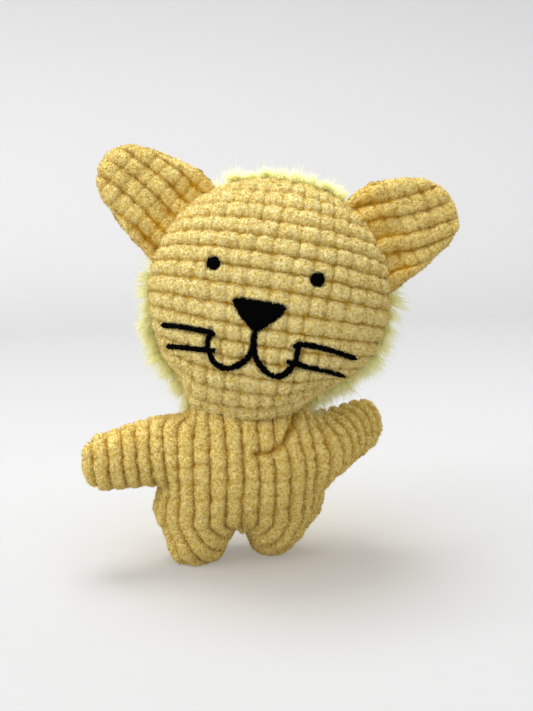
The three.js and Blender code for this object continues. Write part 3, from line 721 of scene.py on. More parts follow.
def plastic_material(name, colour, roughness):
    """Moulded plastic: a soft gloss with faint flow marks and a fine orange-peel skin."""
    shade = Shade(name)
    flow = shade.grain(14.0, 2.0)
    skin = shade.grain(0.9, 2.0)
    tinted = shade.blend(flow * 0.35, solid_colour(colour), solid_colour([c * 0.82 for c in colour]))
    return shade.finish(Base_Color=tinted, Roughness=skin * 0.12 + roughness,
                        Normal=shade.bump(skin, 0.03, 0.4))


def backdrop_material(name, colour):
    """Matt paper: faintly uneven, with painted shade from front to back, painted warm shade round the toy's
    feet in place of light bounced off the toy, and a painted glow: faint for every ray, so that it lights
    the toy from below though it is no lamp, and brighter for camera, glossy and see-through rays."""
    shade = Shade(name)
    patch = shade.grain(300.0, 1.0)
    paper = shade.blend(patch, solid_colour(colour), solid_colour([min(c * 1.02, 1) for c in colour]))
    back = shade.node("ShaderNodeSeparateXYZ", None, [shade.place()], output="Y")
    # Painted shade over the paper from front to back, in place of the lamps' falloff
    painted_falloff = shade.ramp(back * 0.5 + 0.1, (0.05, (0.89, 0.89, 0.89)), (0.17, (0.95, 0.95, 0.95)),
                      (0.43, (0.78, 0.78, 0.78)), (0.78, (0.95, 0.95, 0.95)))
    away = shade.node("ShaderNodeVectorMath", {"operation": "LENGTH"}, [shade.place()], output="Value")
    # Painted warm shade round the toy's feet, in place of light bounced off the toy
    warm = shade.ramp(away * 5.0, (0.1, (0.97, 0.92, 0.82)), (0.7, (1, 1, 1)))
    painted_falloff = shade.blend(1.0, painted_falloff, warm, "MULTIPLY")
    paper = shade.blend(1.0, paper, painted_falloff, "MULTIPLY")
    # Painted glow: the paper shines a little for every ray, so that it lights the toy from below though it
    # is no lamp, and more for camera, glossy and see-through rays
    camera, glossy, through = (shade.node("ShaderNodeLightPath", output=f"Is {which} Ray")
                               for which in ("Camera", "Glossy", "Transmission"))
    glow_by_ray = (camera + glossy + through) * 0.20 + 0.1
    glow = shade.blend(glow_by_ray, (0, 0, 0, 1), painted_falloff)
    return shade.finish(Base_Color=paper, Roughness=0.95, Specular_IOR_Level=0.05, Emission_Color=glow,
                        Emission_Strength=1.0)


MATERIALS = {}


def material_of(kind, maker, *values):
    """Each material is made once and shared."""
    if kind not in MATERIALS:
        MATERIALS[kind] = maker(kind, *values)
    return MATERIALS[kind]


# Body pattern, flat: across and up from the middle of the torso's foot
GRID_STEP = 0.5
GRID_LOW = np.array([-102.0, -8.0])
GRID_SIZE = (420, 236)
BODY_STEP = 0.8  # of the grid that the cloth is cut out of
BODY_RELIEF = 3.3
RIB, CELL = 9.1, 9.4
# The crease below the raised arm
CREASE = np.array([(5, 69.5), (12.5, 69.5), (18.5, 72), (22.5, 76.5), (27.5, 83.5), (32, 91)])
# Where the cloth is parted: at the neck and the legs by height, at shoulder and arm by the way along it
NECK_CUT, LEG_CUT = 79.0, 17.5
SHOULDER_CUT, ARM_CUT = -1.5, 12.5
CROTCH_MIDDLE = -2.0
LEG_INNER = {"right": 22.0, "left": 17.5}
LEGS = {side: HIPS[side][0] - TORSO[0] for side in SIDES}
# Arms: half width at the root and the end, how far the root's middle lies above the joint, how far the
# end is from it, and the turn up and back of each arm and forward and out of each leg, in degrees
ARM_ROOT = {"right": 18.8, "left": 20.0}
ARM_END = {"right": 14.8, "left": 12.8}
ARM_LIFT = {"right": 3.8, "left": 6.0}
ARM_TIP = {"right": 45.2, "left": 39.8}
ARM_WAYS = {"right": (-2.0, -6.0), "left": (23.0, 26.0)}
LEG_WAYS = {"right": (-13.0, 3.0), "left": (20.0, -6.0)}
# A leg's sole, its outer half width at the sole and above, and its inner one at the sole
LEG_FOOT = {"right": (-3.5, 13.6, 20.6, 15.0), "left": (-0.6, 8.6, 19.2, 11.5)}
LEG_TOP = 35.5


def rounded_box(x, z, middle, half, corner):
    """Signed distance to a box with round corners, positive outside."""
    qx = np.abs(x - middle[0]) - half[0] + corner
    qz = np.abs(z - middle[1]) - half[1] + corner
    return np.hypot(np.maximum(qx, 0), np.maximum(qz, 0)) + np.minimum(np.maximum(qx, qz), 0) - corner


def smooth_union(a, b, reach):
    """The lesser of two distances, rounded where they cross: a cubic fillet."""
    h = np.maximum(reach - np.abs(a - b), 0) / reach
    return np.minimum(a, b) - h ** 3 * reach / 6


def midline(z):
    """Where the torso's middle is across at height z: it leans to the toy's left."""
    return 6 * (z - 17) / 61


def body_outline(x, z):
    """Signed distance, positive inside, to the cut edge of the body's pattern: torso with a neck, two
    arms straight out and two legs straight down, joined by fillets."""
    half = np.where(z < 63, mix(49.5, 42.0, ease(z, 34, 63)), mix(42.0, 32.5, ease(z, 63, 84)))
    half = half - 1.6 * (1 - ease(z, 44, 58)) - 3.0 * (1 - ease(z, 16, 32))
    shift = midline(z) - 1.5 * (1 - ease(z, 30, 60))
    body = rounded_box((x - shift) / half * 40, z, (0, 59.6), (40, 40.4), 9)
    for side, sign in SIDES.items():
        pivot = SHOULDERS[side] - TORSO
        tip = sign * (abs(pivot[0]) + ARM_TIP[side])
        start = sign * 10
        along = (x - start) / (tip - start)
        narrowing = ease(along, 0.3, 1.0)
        taper = mix(ARM_ROOT[side], ARM_END[side], narrowing)
        middle = pivot[2] + mix(ARM_LIFT[side], 0.5, narrowing)
        half = (abs(tip - start) / 2, 16)
        arm = rounded_box(x, (z - middle) / taper * 16, ((start + tip) / 2, 0), half, 12)
        body = smooth_union(body, arm, 6)
    for side, sign in SIDES.items():
        outward = sign * (x - LEGS[side])
        sole, low, high, inner = LEG_FOOT[side]
        wide = np.where(outward > 0, mix(low, high, ease(z, 0, 28)),
                        mix(inner, LEG_INNER[side], ease(z, 0, 24)))
        half = (LEG_TOP - sole) / 2
        leg = rounded_box(LEGS[side] + outward / wide * 17, z, (LEGS[side], LEG_TOP - half), (17, half), 12)
        body = smooth_union(body, leg, 4)
    return -body


def pillow(outline):
    """Squared height of a pillow over the pattern: the sheet whose second derivatives add up to -2
    inside the outline and which is 0 on it, found by over-relaxation, then fitted to the smooth outline."""
    rounds, relaxation, edge, edge_rounds = 320, 1.93, 2.0, 24
    inside = outline > 0
    checker = np.indices(outline.shape).sum(axis=0) % 2
    sheet = np.zeros(outline.shape)
    source = 2 * GRID_STEP ** 2 / 4
    for _ in range(rounds):
        for colour in (0, 1):
            around = np.zeros(outline.shape)
            around[1:-1, 1:-1] = (sheet[2:, 1:-1] + sheet[:-2, 1:-1]
                                  + sheet[1:-1, 2:] + sheet[1:-1, :-2]) / 4
            turn = inside & (checker == colour)
            sheet[turn] += relaxation * (around[turn] + source - sheet[turn])
    known = (outline > edge).astype(float)
    ratio = np.where(known > 0, sheet / np.maximum(2 * outline, 0.1), 0)
    for _ in range(edge_rounds):
        total, weight = np.zeros(outline.shape), np.zeros(outline.shape)
        for axis in (0, 1):
            for way in (1, -1):
                total += np.roll(ratio * known, way, axis)
                weight += np.roll(known, way, axis)
        spread = (known == 0) & (weight > 0)
        ratio[spread] = total[spread] / weight[spread]
        known[spread] = 1
    return 2 * outline * ratio


def fullness(x, z):
    """How deep the filling swells a part of the body: arms are flatter than the torso, feet rounder."""
    arms = ease(np.abs(x - 3), 34, 56)
    feet = 1 - ease(z, 8, 30)
    return mix(mix(0.88, 0.83, arms), 1.0, feet)


def look(table, x, z):
    """A grid's value between its points: the mean of the four corners, weighted by nearness."""
    i = np.clip((x - GRID_LOW[0]) / GRID_STEP, 0, table.shape[0] - 1.001)
    k = np.clip((z - GRID_LOW[1]) / GRID_STEP, 0, table.shape[1] - 1.001)
    a, b = i.astype(int), k.astype(int)
    f, g = i - a, k - b
    return ((table[a, b] * (1 - f) + table[a + 1, b] * f) * (1 - g)
            + (table[a, b + 1] * (1 - f) + table[a + 1, b + 1] * f) * g)


def skin_of(field, low, step):
    """Surface nets: one point in each cell of the grid that the field's zero passes through, at the mean
    of the places where it cuts the cell's edges, and one quad round each grid edge that it cuts."""
    size = field.shape
    total = np.zeros((size[0] - 1, size[1] - 1, size[2] - 1, 3), np.float32)
    count = np.zeros(total.shape[:3], np.float32)
    crossings = []
    for axis in range(3):
        near = np.moveaxis(field, axis, 0)
        cut = (near[:-1] > 0) != (near[1:] > 0)
        gap = near[:-1] - near[1:]
        part = np.where(cut, near[:-1] / np.where(gap == 0, 1, gap), 0)
        cut, part = np.moveaxis(cut, 0, axis), np.moveaxis(part, 0, axis)
        rising = np.moveaxis(near[1:] > 0, 0, axis) & cut
        crossings.append((cut, rising))
        others = [k for k in range(3) if k != axis]
        for p, q in np.ndindex(2, 2):
            window = [slice(None)] * 3
            window[others[0]] = slice(p, p + size[others[0]] - 1)
            window[others[1]] = slice(q, q + size[others[1]] - 1)
            here = cut[tuple(window)]
            count += here
            total[..., axis] += part[tuple(window)] * here
            total[..., others[0]] += p * here
            total[..., others[1]] += q * here
    used = count > 0
    number = np.full(used.shape, -1)
    number[used] = np.arange(used.sum())
    points = (np.argwhere(used) + total[used] / count[used][:, None]) * step + low
    quads = []
    for axis in range(3):
        cut, rising = crossings[axis]
        others = [k for k in range(3) if k != axis]
        place = np.argwhere(cut)
        whole = np.all([(place[:, k] > 0) & (place[:, k] < size[k] - 1) for k in others], axis=0)
        place = place[whole]
        up = rising[tuple(place.T)]
        ring = []
        for p, q in ((1, 1), (0, 1), (0, 0), (1, 0)):
            cell = place.copy()
            cell[:, others[0]] -= p
            cell[:, others[1]] -= q
            ring.append(number[tuple(cell.T)])
        ring = np.stack(ring, axis=1)
        forward = (axis == 1) == up
        quads.append(np.where(forward[:, None], ring, ring[:, ::-1]))
    return points, np.concatenate(quads)


def arc_table(height, xs, sign):
    """Distances over the cloth along each row of the grid, read by the place across plus or minus the
    height, which grows all the way down that flank of the body."""
    table = np.zeros(height.shape)
    for row in range(height.shape[1]):
        profile = height[:, row]
        steps = np.hypot(np.diff(profile), np.diff(xs))
        length = np.concatenate([[0], np.cumsum(steps)])
        length -= np.interp(CROTCH_MIDDLE, xs, length)
        key = xs - sign * profile
        key = np.maximum.accumulate(key) if sign > 0 else np.minimum.accumulate(key[::-1])[::-1]
        table[:, row] = np.interp(xs, key, length)
    return table


def body_cloth():
    """The whole body's cloth: the points in the toy's place, the quads and how deep in a groove each
    point is. The height over the pattern is the root of the pillow's, and the ribs, folds and pile are
    added along the normal."""
    xs = GRID_LOW[0] + GRID_STEP * np.arange(GRID_SIZE[0])
    zs = GRID_LOW[1] + GRID_STEP * np.arange(GRID_SIZE[1])
    gx, gz = np.meshgrid(xs, zs, indexing="ij")
    shape = pillow(body_outline(gx, gz)) * fullness(gx, gz) ** 2
    low = np.array([GRID_LOW[0] + 1, -40.0, GRID_LOW[1] + 1])
    ax, ay, az = (low[k] + BODY_STEP * np.arange(int(wide / BODY_STEP))
                  for k, wide in enumerate((206, 80, 116)))
    base = look(shape, *np.meshgrid(ax, az, indexing="ij"))
    points, quads = skin_of(base[:, None, :] - (ay ** 2)[None, :, None], low, BODY_STEP)

    slope_x, slope_z = np.gradient(shape, GRID_STEP)
    for _ in range(3):
        x, y, z = points.T
        gradient = np.stack([look(slope_x, x, z), -2 * y, look(slope_z, x, z)], axis=1)
        off = look(shape, x, z) - y ** 2
        points = points - gradient * (off / np.maximum((gradient ** 2).sum(axis=1), 4))[:, None]
    x, y, z = points.T
    normals = unit(-np.stack([look(slope_x, x, z), -2 * y, look(slope_z, x, z)], axis=1))

    height = np.sqrt(np.maximum(shape, 0))
    flank = {sign: arc_table(height, xs, sign) for sign in SIDES.values()}
    deep = np.abs(y)
    row = np.maximum(z, 25)
    across = np.where(x > midline(z), look(flank[1], x - deep, row), look(flank[-1], x + deep, row))
    rib, groove = body_ribs(x, y, z, across)
    seam = np.exp(-(y / 0.9) ** 2)
    raised = ease(x, 34, 56)
    arm = ease(np.abs(x - 3), 38, 54)
    shallow = 1 - mix(0.35, 0.6, raised) * np.exp(-(y / 4) ** 2)
    depth = (BODY_RELIEF + 0.4 * arm + 0.7 * raised) * shallow * (rib - 1) - 0.8 * seam + 1.1
    # The arms' grooves get more painted shade, the raised arm's most
    groove = groove * (1 + 0.1 * arm + 0.4 * raised)
    points = points + normals * depth[:, None]
    world = posed(points)
    world[:, 1] += 3.0 * ease(z, 80, 88) * (1 - ease(y, -6, 4)) * (1 - ease(np.abs(x - 5), 26, 34))
    outward = corner_normals(world, quads)
    world = world + outward * fluff(world, 11)[:, None]
    world[:, 2] = np.maximum(world[:, 2], 0.25)
    # The seam at the sides is painted with groove shade too
    return world, quads, np.clip(np.maximum(groove, 0.6 * seam), 0, 1)


def body_ribs(x, y, z, across):
    """Upright ribs of the body with shallow cuts, drawn in at the neck, leaning over each foot, fanned
    over the raised shoulder and broken by the crease below it."""
    front = y < 0
    low = np.maximum(27 - z, 0)
    u = across - 0.24 * low * (1 - ease(x, -8, 0)) + 0.5 * low * ease(x, -4, 4)
    u = u - 0.2 * np.clip(-x - 40, 0, 32) * ease(z, 40, 54) + 0.36 * np.maximum(x - 34, 0) * ease(z, 38, 50)
    u = u + 0.017 * (z - 71) ** 2 * ease(x, 34, 60)
    path = smooth_path(CREASE, 0.5)
    box = (x > 2) & (x < 36) & (z > 58) & front
    line = np.full(len(x), 30.0)
    apart = np.stack([x[box], z[box]], axis=1)[:, None] - path[None]
    line[box] = np.linalg.norm(apart, axis=2).min(axis=1)
    beyond = ease(x - np.interp(z, path[:, 1], path[:, 0]), -1.0, 1.0)
    u = u + beyond * front * 0.22 * np.maximum(z - 60, 0) * (1 - ease(x, 36, 58))
    wander = noise(np.stack([u * 0.5, z, y], axis=1), 14.0, 31)
    arm = ease(np.abs(x - 2), 40, 52)
    wander = 0.55 * wander + mix(0.4, 0.7, ease(-x, 40, 52)) * noise(np.stack([u, z, y], axis=1), 4.5, 33)
    height, groove = cell_height((u + wander) / RIB, (z + 0.25 * y) / CELL, CELL, 41, mix(0.4, 0.25, arm))
    crease = np.exp(-(line / 2.1) ** 2)
    height = height - 1.25 * crease
    # The crease is cut in and also painted with groove shade
    return height, np.maximum(groove, 0.95 * crease)


def posed(points):
    """The flat pattern's points in the toy's pose: each limb turns about its joint, all of it beyond
    the joint, none of it within the torso."""
    out = points.copy()
    for side, sign in SIDES.items():
        lift, back = np.radians(ARM_WAYS[side])
        way = np.array([sign * np.cos(lift) * np.cos(back), np.cos(lift) * np.sin(back), np.sin(lift)])
        pivot = SHOULDERS[side] - TORSO
        share = ease(sign * (points[:, 0] - pivot[0]), -13, 10) * ease(points[:, 2], 36, 50)
        out = bent_towards(out, pivot, np.array([sign, 0, 0]), way, share)
        swing, splay = np.radians(LEG_WAYS[side])
        way = unit(np.array([sign * np.sin(splay), np.sin(swing), -np.cos(swing) * np.cos(splay)]))
        pivot = HIPS[side] - TORSO
        own = points[:, 0] < CROTCH_MIDDLE if sign < 0 else points[:, 0] >= CROTCH_MIDDLE
        share = (1 - ease(points[:, 2], 8, 30)) * own
        out = bent_towards(out, pivot, np.array([0, 0, -1]), way, share)
    return out + TORSO


# Where each shoulder's cloth begins, and the way from there along the arm
ARM_PLANES = {
    side: (SHOULDERS[side] + np.array([-sign * 1.5, 0, -15.0]), unit(np.array([sign * 0.95, 0, 0.31])))
    for side, sign in SIDES.items()
}


def split(points, quads, groove, chosen):
    """The part of a cloth whose quads are chosen, with its own points."""
    faces = quads[chosen]
    used = np.unique(faces)
    number = np.zeros(len(points), int)
    number[used] = np.arange(len(used))
    return points[used], number[faces], groove[used]


def metres(*place):
    """A place in millimetres as three metres."""
    return tuple(np.array(place) * MM)


def search_tree(points, quads):
    """A cloth that can be asked for the place on it nearest to a point."""
    return BVHTree.FromPolygons(points.tolist(), quads.tolist())


def kept_inside(points, tree, depth):
    """Points moved to at least this far behind the nearest place on a cloth, against its normal there."""
    out = points.copy()
    for i, point in enumerate(points):
        place, normal = tree.find_nearest(point)[:2]
        over = (point - place) @ np.array(normal) + depth
        if over > 0:
            out[i] = point - np.array(normal) * over
    return out


# Settings
def length_property(label, note, millimetres):
    return bpy.props.FloatProperty(name=label, description=note, default=millimetres * MM, min=0.0,
                                   max=0.3, unit="LENGTH", precision=4)


def colour_property(label, note, colour):
    return bpy.props.FloatVectorProperty(name=label, description=note, default=colour, size=3, min=0.0,
                                         max=1.0, subtype="COLOR")


def power_property(label, note, watts):
    return bpy.props.FloatProperty(name=label, description=note, default=watts, min=0.0, max=200.0,
                                   unit="POWER")


class PlushSettings(bpy.types.PropertyGroup):
    """Sizes and colours of the ribbed plush."""

    pile_length: length_property("Pile length", "How far the pile stands on the cloth", 1.5)
    pile_width: length_property("Pile width", "Width of one tuft of pile", 0.42)
    pile_density: bpy.props.FloatProperty(name="Pile density", description="Tufts on a square millimetre",
                                          default=3.4, min=0.1, max=6.0)
    relief: length_property("Cell height", "Depth of the grooves between the face's cells", 3.2)
    plush_colour: colour_property("Rib colour", "Colour on top of the ribs", (0.98, 0.895, 0.60))
    warm_colour: colour_property("Warm colour", "Warmer tint in the mottling", (0.91, 0.69, 0.18))
    # Painted shade: the two colours that the grooves and creases are painted with in place of their shade
    groove_shade_colour: colour_property("Groove colour", "Colour deep between the ribs", (0.60, 0.37, 0.013))
    crease_shade_colour: colour_property("Crease colour", "Warmer tint deep between the ribs of ears and body",
                                   (0.70, 0.33, 0.012))


class FurSettings(bpy.types.PropertyGroup):
    """Sizes and colours of the mane."""

    length: length_property("Fur length", "Length of the longest strands", 20.0)
    width: length_property("Strand width", "Width of a strand at its root", 0.38)
    strands: bpy.props.IntProperty(name="Strands", description="Strands on the whole mane", default=50000,
                                   min=1000, max=60000)
    root_colour: colour_property("Root colour", "Colour at the skin", (0.97, 0.95, 0.58))
    tip_colour: colour_property("Tip colour", "Colour at the tips", (0.985, 0.98, 0.77))
    shade_colour: colour_property("Shade colour", "Colour of the darker strands", (0.95, 0.93, 0.58))


class StitchSettings(bpy.types.PropertyGroup):
    """Colour of the stitching."""

    thread_colour: colour_property("Thread colour", "Colour of the face's stitching",
                                   (0.0009, 0.0009, 0.001))


class StageSettings(bpy.types.PropertyGroup):
    """Light and colour of the stage."""

    paper_colour: colour_property("Paper colour", "Colour of the floor and backdrop", (0.36, 0.357, 0.349))
    key_power: power_property("Key light", "Power of the soft light above on the left", 64.0)
    top_power: power_property("Top light", "Power of the light above and behind", 74.0)
    fill_power: power_property("Fill light", "Power of the weak light on the right", 5.0)


def plush(context):
    return context.scene.toy_plush


# Pieces
class TOY_OT_face(bpy.types.Operator):
    """Face: ribbed plush cut into cells over a dome, drawn in at the seam and under the stitching"""

    bl_idname = "toy.face"
    bl_label = "Make the face"

    def execute(self, context):
        settings = plush(context)
        radius, angle = disc_grid(FACE_GRID)
        share = radius * (1 + FACE_TUCK)
        points = dome(np.minimum(share, 1), angle, -HEAD_SIZE[1], FACE_INSET)
        tuck = np.maximum(share - 1, 0) / FACE_TUCK
        points[:, 1] += tuck * 2.0
        points[:, [0, 2]] *= (1 - 0.05 * tuck)[:, None]
        quads, normals = facing(points, grid_quads(FACE_GRID, FACE_GRID), points)
        # The cloth laid flat, with the dart at the top and the rows that grow and bend to the rim
        u, v = radius * FACE_REACH * np.cos(angle), radius * FACE_REACH * np.sin(angle)
        wave = noise(np.stack([u * 0.6, v, u * 0], axis=1), 22.0, 3)
        dart = np.exp(-((u - 3) / 7) ** 2) * ease(v, 48, 74)
        wave = 0.5 * wave + 0.4 * noise(points, 4.5, 4)
        level = v / (1 + np.where(u > 0, 0.1, 0.045) * (u / 46) ** 2) + wave - 4.0 * dart
        low = ease(-v, 38, 85)
        level = mix(level, -radius * FACE_REACH, 0.35 * low)
        column = (u + 0.05 * np.minimum(v, 0)) * (1 - 0.3 * low)
        height, groove = cell_height(even_rows(level, -0.7, 7.4, 66.0) - 0.66,
                                     even_rows(column, 2.1, 8.4, 70.0) - 1.09, 9.0, 23, 0.78 - 0.25 * low)
        stitched = stitched_mask(points[:, 0], points[:, 2])
        dart_line = np.exp(-((u - 3 - 0.05 * (v - 60)) / 1.2) ** 2) * ease(v, 66, 76)
        rim = ease(radius, 0.955, 1.0)
        depth = settings.relief / MM * (height - 1) + 1.2
        depth = mix(depth, -1.7, stitched) - 1.2 * dart_line - 0.3 * rim
        points = points + normals * (depth + fluff(points, 5) * (1 - stitched))[:, None]
        # Painted shade: deeper along the dart and round the seam, less on the stitching
        groove = np.clip(np.maximum(groove, 0.5 * dart_line) * (1 - 0.4 * stitched) + 0.1 * rim, 0, 1)
        piece = cloth_piece("face_plush", to_world(points), quads, groove, settings,
                            material_of("ribbed_plush", plush_material, settings), 71, 1 - stitched)
        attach(piece, "head")
        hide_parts("face_panel")
        return {"FINISHED"}


class TOY_OT_stitching(bpy.types.Operator):
    """Stitching: two eyes, the nose, the mouth and four whiskers in black satin stitch"""

    bl_idname = "toy.stitching"
    bl_label = "Stitch the face"

    def execute(self, context):
        thread = material_of("black_thread", thread_material, context.scene.toy_stitching)
        made = {}
        for side, sign in SIDES.items():
            xs = np.arange(-EYE_RADIUS, EYE_RADIUS + 0.01, THREAD / THREAD_POINTS)
            half = np.sqrt(np.maximum(EYE_RADIUS ** 2 - xs ** 2, 0.01))
            made[f"eye_{side}"] = [stitched_patch(f"eye_{side}_thread", xs + sign * EYE_SPACING / 2,
                                                  EYE_HEIGHT - half, EYE_HEIGHT + half, thread)]
        xs = np.arange(-NOSE_WIDTH / 2, NOSE_WIDTH / 2 + 0.01, THREAD / THREAD_POINTS)
        made["nose"] = [stitched_patch("nose_thread", xs, *nose_edges(xs), thread)]
        for name, (knots, width) in stitched_strokes().items():
            node = "mouth_line" if name.startswith("mouth") else name
            made.setdefault(node, []).append(stitched_line(f"{name}_thread", knots, width, thread))
        for node, pieces in made.items():
            for piece in pieces:
                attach(piece, "head")
                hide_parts(node)
        return {"FINISHED"}


class TOY_OT_mane(bpy.types.Operator):
    """Mane: the fur's backing over the back of the head, and its strands in three bands"""

    bl_idname = "toy.mane"
    bl_label = "Make the mane"

    def execute(self, context):
        settings = context.scene.toy_fur
        material = material_of("mane_fur", fur_material, settings)
        skin = dome(*disc_grid(MANE_GRID), MANE_DEPTH, MANE_INSET)
        quads, normals = facing(skin, grid_quads(MANE_GRID, MANE_GRID), skin)
        skin = skin + normals * (0.5 * noise(skin, 5.0, 51))[:, None]
        values = {"along": np.full(len(skin), 0.1), "strand": 0.5 + 0.5 * noise(skin, 6.0, 52)}
        backing = make_piece("mane_backing", to_world(skin), [quads], material, values)
        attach(backing, "head")
        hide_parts("mane_panel")

        rng = np.random.default_rng(9)
        count = settings.strands
        share = np.sqrt(rng.random(count))
        share = np.where(rng.random(count) < RIM_STRANDS, rng.uniform(RIM_FROM, 1.0, count), share)
        turn = rng.random(count) * 2 * np.pi
        at_ear = np.zeros(count, bool)
        for base in (EAR_ANGLE, 180 - EAR_ANGLE):
            apart = np.abs((np.degrees(turn) - base + 180) % 360 - 180)
            at_ear |= (apart < BARE_WIDTH) & (share > BARE_FROM)
        share, turn = share[~at_ear], turn[~at_ear]
        points, along, strand = self.strands(share, turn, settings, rng)
        bands = np.digitize(turn, (np.pi * 2 / 3, np.pi * 4 / 3))
        for band in range(3):
            mine = bands == band
            blades = points[mine]
            rows = blades.shape[1] // 2
            number = np.arange(len(blades) * rows * 2).reshape(len(blades), rows, 2)
            quads = np.stack([number[:, :-1, 0], number[:, :-1, 1], number[:, 1:, 1], number[:, 1:, 0]],
                             axis=-1).reshape(-1, 4)
            values = {"along": along[mine].ravel(), "strand": strand[mine].ravel()}
            fur = make_piece(f"mane_fur_{band + 1}", to_world(blades.reshape(-1, 3)), [quads], material,
                             values)
            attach(fur, "head")
        return {"FINISHED"}

    def strands(self, share, turn, settings, rng):
        """Each strand is a ribbon along a curve that leaves the skin, turns towards the seam and falls
        with its weight: root + s times the way + s squared times the comb's pull, s from 0 to 1."""
        root, ahead, behind = (dome(np.clip(share + step, 0.0, 1.0), turn, MANE_DEPTH, ROOT_INSET)
                               for step in (0, 0.01, -0.01))
        out = unit(ahead - behind)
        normal = unit(root / MANE_HALVES ** 2)
        clump = np.stack([noise(root, 7.0, 60 + k) for k in range(3)], axis=1)
        fine = rng.normal(0, 0.16, root.shape)
        down = np.array([0.0, 0.0, -1.0]) @ HEAD_TURN
        edge = ease(share, 0.8, 1.0)
        way = unit(normal * mix(0.62, 0.95, edge)[:, None] + out * mix(0.75, 0.42, edge)[:, None]
                   + 0.42 * clump + fine)
        pull = unit(out * 0.9 + down * 0.55 + 0.5 * np.roll(clump, 1, axis=0) + fine)
        length = settings.length / MM * rng.uniform(0.62, 1.0, len(root)) * mix(1.0, 0.62, edge)
        angle = (np.degrees(turn) + 180) % 360 - 180
        length = length * mix(0.8, 1.0, ease(share, 0.3, 0.7)) * mix(1.0, np.interp(angle, *FUR_TRIM), edge)
        length = length * (1 + 0.35 * noise(root, 8.0, 66))
        lock = 8.0
        gather = (np.floor(root / lock + 0.4 * clump) + 0.5) * lock - root
        gather = gather - (gather * way).sum(axis=1)[:, None] * way
        rows = 5
        s = np.linspace(0, 1, rows)[None, :, None]
        reach = length[:, None, None]
        curve = root[:, None] + reach * (way[:, None] * (s - 0.38 * s ** 2) + pull[:, None] * 0.38 * s ** 2)
        curve = curve + 0.85 * gather[:, None] * s ** 1.5
        across = unit(np.cross(way, normal + rng.normal(0, 0.5, root.shape)))[:, None]
        half = settings.width / MM / 2 * (1 - s ** 1.7 * 0.9)
        ribbon = np.stack([curve - across * half, curve + across * half], axis=2)
        ribbon = ribbon.reshape(len(root), rows * 2, 3)
        along = np.repeat(np.broadcast_to(s[..., 0], (len(root), rows))[..., None], 2, axis=2)
        strand = np.broadcast_to(rng.random((len(root), 1, 1)), along.shape)
        return ribbon, along.reshape(len(root), -1), strand.reshape(len(root), -1)


class TOY_OT_ears(bpy.types.Operator):
    """Ears: a cupped front and back of ribbed plush, their ribs running to the tip"""

    bl_idname = "toy.ears"
    bl_label = "Make the ears"

    def execute(self, context):
        settings = plush(context)
        for side in SIDES:
            both, faces = [], []
            for face, sign in (("front", -1), ("back", 1)):
                points, quads, groove = self.sheet(side, sign)
                world = points @ ear_turn(side).T + EARS[side]
                faces.append(quads + len(both) * len(world))
                both.append(world)
                # The ears' warmth is a painted glow that stands in for light passing through the thin ears
                piece = cloth_piece(f"ear_{side}_{face}_plush", world, quads, groove, settings,
                                    material_of("ear_plush", plush_material, settings, 0.3), 80 + sign)
                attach(piece, f"ear_{side}")
                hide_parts(f"ear_{side}_{face}")
            CLOTH[f"ear_{side}"] = search_tree(np.concatenate(both), np.concatenate(faces))
        return {"FINISHED"}

    def sheet(self, side, sign):
        """One side of an ear: width and thickness shrink to the tip as powers of the share along it, the
        section is a flat oval, and a parabola brings the edges forward."""
        a, b = np.meshgrid(np.linspace(-1, 1, EAR_GRID), np.linspace(0, 1, EAR_GRID), indexing="ij")
        a = np.sin(a * np.pi / 2)
        length = EAR_LENGTH[side]
        z = mix(-9.0, length, np.sin(b * np.pi / 2))
        share = np.clip(z / length, 0, 1)
        upper = SIDES[side] * a < 0
        half = np.where(upper, *EAR_HALVES[side]) * (1 - 0.47 * share) * np.sqrt(1 - share ** 7)
        half = half * (1 - 0.22 * upper * (1 - ease(z, -6, 12)))
        thick = mix(2.4, 6.4, ease(z, 0, 16)) * np.sqrt(1 - share ** 5)
        x = half * a
        y = sign * thick * np.sqrt(np.clip(1 - np.abs(a) ** 2.3, 0, 1))
        z = z - (1 - share) ** 2 * x ** 2 / HEAD_SIZE[0]
        x = x - SIDES[side] * EAR_LEAN[side] * np.sin(np.pi / 2 * share) - (1.2 if side == "left" else 0)
        cup = -4.6 * (x / 29) ** 2 * mix(0.2, 1.0, ease(z, -4, 18))
        gather = np.sin(x * 2 * np.pi / 17 + 0.7) * (1 - ease(z, 0, 24)) * ease(29 - np.abs(x), 0, 6)
        fold = np.exp(-((z - 29 + 0.12 * SIDES[side] * x + 2 * np.sin(x / 6)) / 2.6) ** 2) * (sign < 0)
        forward = -3.2 * (1 - ease(z, -1, 13)) * (1 - (x / 35) ** 2)
        points = np.stack([x, y + cup + forward - 1.3 * gather + 1.5 * fold, z], axis=-1).reshape(-1, 3)
        quads, out = facing(points, grid_quads(EAR_GRID, EAR_GRID), np.array([0, sign, 0]))
        u = (x + EAR_SLANT[side] * z + 0.6 * y).ravel()
        wander = noise(points * (1, 0.4, 0.7), 16.0, 90 + sign)
        height, groove = cell_height((u + 1.2 * wander + 4.4) / 9.8, (z.ravel() - 2.5) / 9.5, 9.5,
                                     57 + SIDES[side], 0.7)
        edge = np.maximum(ease(np.abs(a.ravel()), 0.8, 1.0), ease(share.ravel(), 0.82, 0.99))
        depth = mix(3.0 * (height - 1) + 1.5, 0.1 + 0.6 * (height - 1), edge)
        # Less painted groove shade towards the edges
        groove = groove * (1 - 0.8 * edge)
        points = points + out * (depth + fluff(points, 95 + sign))[:, None]
        # Painted shade: the ear's foot, where it meets the head, and its fold are painted deeper in the
        # grooves' colour
        base = 1 - ease(z.ravel(), 2, 18)
        groove = np.clip(0.85 * groove + 0.5 * base + 0.15 * fold.ravel(), 0, 1)
        return points, quads, groove


